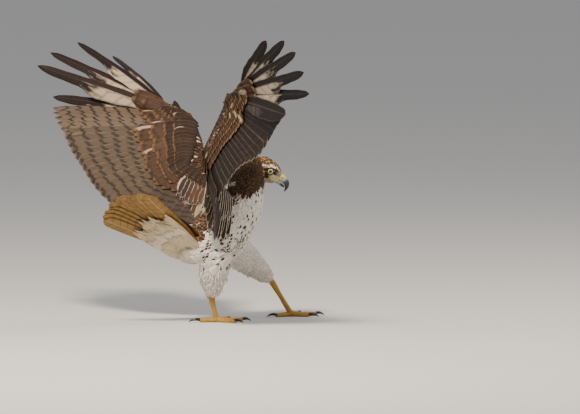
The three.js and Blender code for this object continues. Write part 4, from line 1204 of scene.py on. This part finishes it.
# Bill: blue-grey horn that darkens to a black hook, under a waxy yellow-green cere with the nostrils.
# Stations are along the head, rise, half height and half width. The gape's are along, out, rise and radius.
UPPER_BILL = [(24.5, -4.5, 8.2, 8.4), (30, -4.6, 7.8, 8), (36, -5.6, 7.2, 7), (42, -8.4, 6.2, 5.6),
              (46.2, -13.6, 4.8, 4), (47.6, -19.5, 3, 2.6), (47, -25, 1.4, 1.2), (46.2, -28, 0.45, 0.4)]
LOWER_BILL = [(23, -16.4, 3.4, 6.6), (30, -16.8, 3.2, 5.8), (37, -17.8, 2.8, 4.6), (41.5, -19, 1.7, 3),
              (43.5, -19.4, 0.6, 1.4)]
CERE = [(24, -4.0, 7.6, 8.6), (26.5, -4.0, 7.9, 8.7), (30, -4.0, 7.6, 8.4), (33, -4.5, 7.3, 7.9),
        (34.2, -4.8, 6.8, 7.2)]
GAPE = [(6, 21.6, -15, 0.5), (14, 18.8, -14, 1.2), (22, 13.9, -13, 1.2), (29, 9.2, -12.6, 1.2),
        (35, 6.6, -12.9, 0.7)]
GAPE_INSET, GAPE_SHARE = 0.4, 0.8
NOSTRIL, NOSTRIL_SLANT = (31.2, 8.2, -3.4), (0.12, 0.25)
NOSTRIL_STATIONS, NOSTRIL_TALLS = (-1.7, -0.7, 0.4, 1.5), np.array([0.5, 1.25, 1.25, 0.4]) * MM


def head_spot(along, out, rise):
    return head_middle + (head_axes.T @ np.array((along, out, rise), dtype=float)) * MM


def bill_loft(stations, sides, steps):
    centres = [head_spot(along, 0, rise) for along, rise, _, _ in stations]
    _, _, talls, wides = np.array(stations).T * MM
    return tube(centres, head_axes[1], wides, talls, steps, sides)


def horn_material(name, base, tip, roughness=0.28, start=0.3, end=0.85, middle=None):
    """Grained horn that shades from its base to its tip."""
    material, tree, shader = new_material(name)
    share = add(tree, "ShaderNodeMapRange", Value=carried(tree, "span")["Z"], From_Min=start, From_Max=end)
    ramp = add(tree, "ShaderNodeValToRGB", Fac=share.outputs["Result"])
    ramp.color_ramp.elements[0].color, ramp.color_ramp.elements[1].color = rgb(base), rgb(tip)
    if middle:
        ramp.color_ramp.elements.new(0.4).color = rgb(middle)
    grain = add(tree, "ShaderNodeTexNoise", Scale=600.0, Detail=3.0, Vector=on_object(tree)).outputs["Fac"]
    toned = grained(tree, ramp.outputs["Color"], grain, 0.75, 1.2)
    tree.links.new(toned, shader.inputs["Base Color"])
    bumped(tree, shader, grain, 0.15, 0.4 * MM)
    shader.inputs["Roughness"].default_value = roughness
    return material


bill_horn = horn_material("bill horn", "#8b9ca5", "#08080a", start=0.26, end=0.62, middle="#2b333a")
claw_horn = horn_material("claw horn", "#1f1b1a", "#0a0909", start=0.0, end=0.6)
cere_skin = horn_material("waxy cere", "#c2ad2a", "#b3a945", roughness=0.4)
# The nostrils are near-black tubes on the cere: painted shade that stands for the inside of the openings.
nostril_painted_shade = plain_material("nostril hollow", "#0b0a08", 0.9)
loft_piece("bill_upper", bill_loft(UPPER_BILL, 32, 56), bill_horn, "bill_horn", "bill_upper")
loft_piece("bill_lower", bill_loft(LOWER_BILL, 28, 30), bill_horn, "bill_horn", "bill_lower")
loft_piece("cere", bill_loft(CERE, 40, 24), cere_skin, "bill_horn")
for side, name in SIDES:
    at, out, rise = NOSTRIL
    ring = [head_spot(at + a, side * (out - abs(a) * NOSTRIL_SLANT[0]), rise + a * NOSTRIL_SLANT[1])
            for a in NOSTRIL_STATIONS]
    hollow = tube(ring, head_axes[1] * side, [0.5 * MM] * len(ring), NOSTRIL_TALLS, 12, 14)
    loft_piece("nostril_" + name, hollow, nostril_painted_shade, "bill_horn")
    line = [head_spot(a, side * (o - GAPE_INSET), r) for a, o, r, _ in GAPE]
    radii = [radius * MM * GAPE_SHARE for *_, radius in GAPE]
    loft_piece("gape_" + name, tube(line, head_axes[1] * side, radii, radii, 40, 12), cere_skin, "bill_horn")


# Legs: ochre skin in overlapping scutes down the front of the shank and over the toes, black hooked claws.
# Toes: digit, turn from the foot's heading, reach, radius and the claw's reach.
TOES = [(1, 172, 34, 5.2, 24), (2, 42, 40, 5.4, 22), (3, 2, 56, 5.2, 19), (4, -44, 45, 4.6, 16)]
SOLE, SCUTE, SHANK_FRONT = 0.9, 3.4 * MM, 1.3
PLATE_STEP, PAD_STEP, PADS = 0.055, 0.07, 3
SHANK_RADII, CLAW_RADII = np.array([5.5, 6.5, 4.8, 5.6]) * MM, np.array([3.2, 2.9, 1.7, 0.4]) * MM
TOE_STATIONS, TOE_BEHIND = (0, 0.35, 0.7, 1), 3
CLAW_STATIONS = ((0, -4, 4.6), (0.35, 0, 6.4), (0.75, 0, 4.4), (1, 0, 0.9))


def scale_material():
    """Ochre skin with darker seams between small scales, and grime in larger patches."""
    material, tree, shader = new_material("scaled leg skin")
    spot = on_object(tree)
    cells = add(tree, "ShaderNodeTexVoronoi", {"feature": "DISTANCE_TO_EDGE"}, Vector=spot, Scale=620.0)
    seam = add(tree, "ShaderNodeMapRange", Value=cells.outputs["Distance"], From_Max=0.12).outputs["Result"]
    grime = add(tree, "ShaderNodeTexNoise", Vector=spot, Scale=120.0, Detail=4.0).outputs["Fac"]
    skin = add(tree, "ShaderNodeMix", {"data_type": "RGBA"}, i0=grime, i6=rgb("#c79a2c"), i7=rgb("#a3762a"))
    edge = add(tree, "ShaderNodeMix", {"data_type": "RGBA"}, i0=seam, i6=rgb("#6a4c1c"), i7=skin.outputs[2])
    tree.links.new(edge.outputs[2], shader.inputs["Base Color"])
    bumped(tree, shader, seam, 0.6, 0.5 * MM)
    shader.inputs["Roughness"].default_value = 0.5
    return material


def scutes(length, front=1.0):
    """Radius factor of overlapping plates on the upper side, soft pads below."""
    count = max(3, round(length / SCUTE))

    def bulge(angle, share):
        upper = max(0.0, math.cos(angle - math.pi / 2)) ** 0.5
        saw = (share * count) % 1.0
        pad = max(0.0, -math.sin(angle)) * PAD_STEP * math.sin(share * math.pi * PADS) ** 2
        return 1 + PLATE_STEP * upper * (saw - 0.4) * front + pad
    return bulge


def vector(x, y, z):
    return np.array((x, y, z))


def make_toe(ground, out, aside, reach, thick):
    """A padded toe that is flat where it meets the floor."""
    radii = [thick + 1.8, thick, thick * 0.95, thick * 0.85]
    line = [ground + out * (t * reach - TOE_BEHIND * (1 - t)) * MM + vector(0, 0, (r - SOLE) * MM)
            for t, r in zip(TOE_STATIONS, radii)]
    toe = tube(line, aside, np.array(radii) * MM, np.array(radii) * MM, 60, 24, scutes(reach * MM))
    for vert in toe.verts:
        vert.co.z = max(vert.co.z, 0.0)
    piece = bpy.data.meshes.new("toe")
    toe.to_mesh(piece)
    toe.free()
    return piece


leg_scales = scale_material()
for leg in LEGS:
    side, name = leg["side"], leg["name"]
    hip, heel, foot = (place(leg[key]) for key in ("hip", "heel", "foot"))
    way = [heel + (hip - heel) * 0.08, heel + (foot - heel) * 0.1, heel + (foot - heel) * 0.5, foot]
    heading = math.radians(leg["turn"])
    left = vector(-math.sin(heading), math.cos(heading), 0)
    plates = scutes(np.linalg.norm(foot - heel), SHANK_FRONT)
    shank = tube(way, left, SHANK_RADII, SHANK_RADII, 110, 28, plates)
    loft_piece("shank_" + name, shank, leg_scales, "leg_scales", "shank_" + name)
    toes = bmesh.new()
    for digit, turn, reach, thick, claw in TOES:
        angle = math.radians(leg["turn"] - side * turn)
        out = vector(math.cos(angle), math.sin(angle), 0)
        aside = vector(-math.sin(angle), math.cos(angle), 0)
        ground = vector(foot[0], foot[1], 0)
        piece = make_toe(ground, out, aside, reach, thick)
        toes.from_mesh(piece)
        bpy.data.meshes.remove(piece)
        hook = [ground + out * (reach + share * claw + ahead) * MM + vector(0, 0, rise * MM)
                for share, ahead, rise in CLAW_STATIONS]
        node = f"claw_{name}_{digit}"
        loft_piece(node, tube(hook, aside, CLAW_RADII, CLAW_RADII, 40, 20), claw_horn, "claw_horn", node)
    loft_piece("foot_" + name, toes, leg_scales, "leg_scales", "foot_" + name)
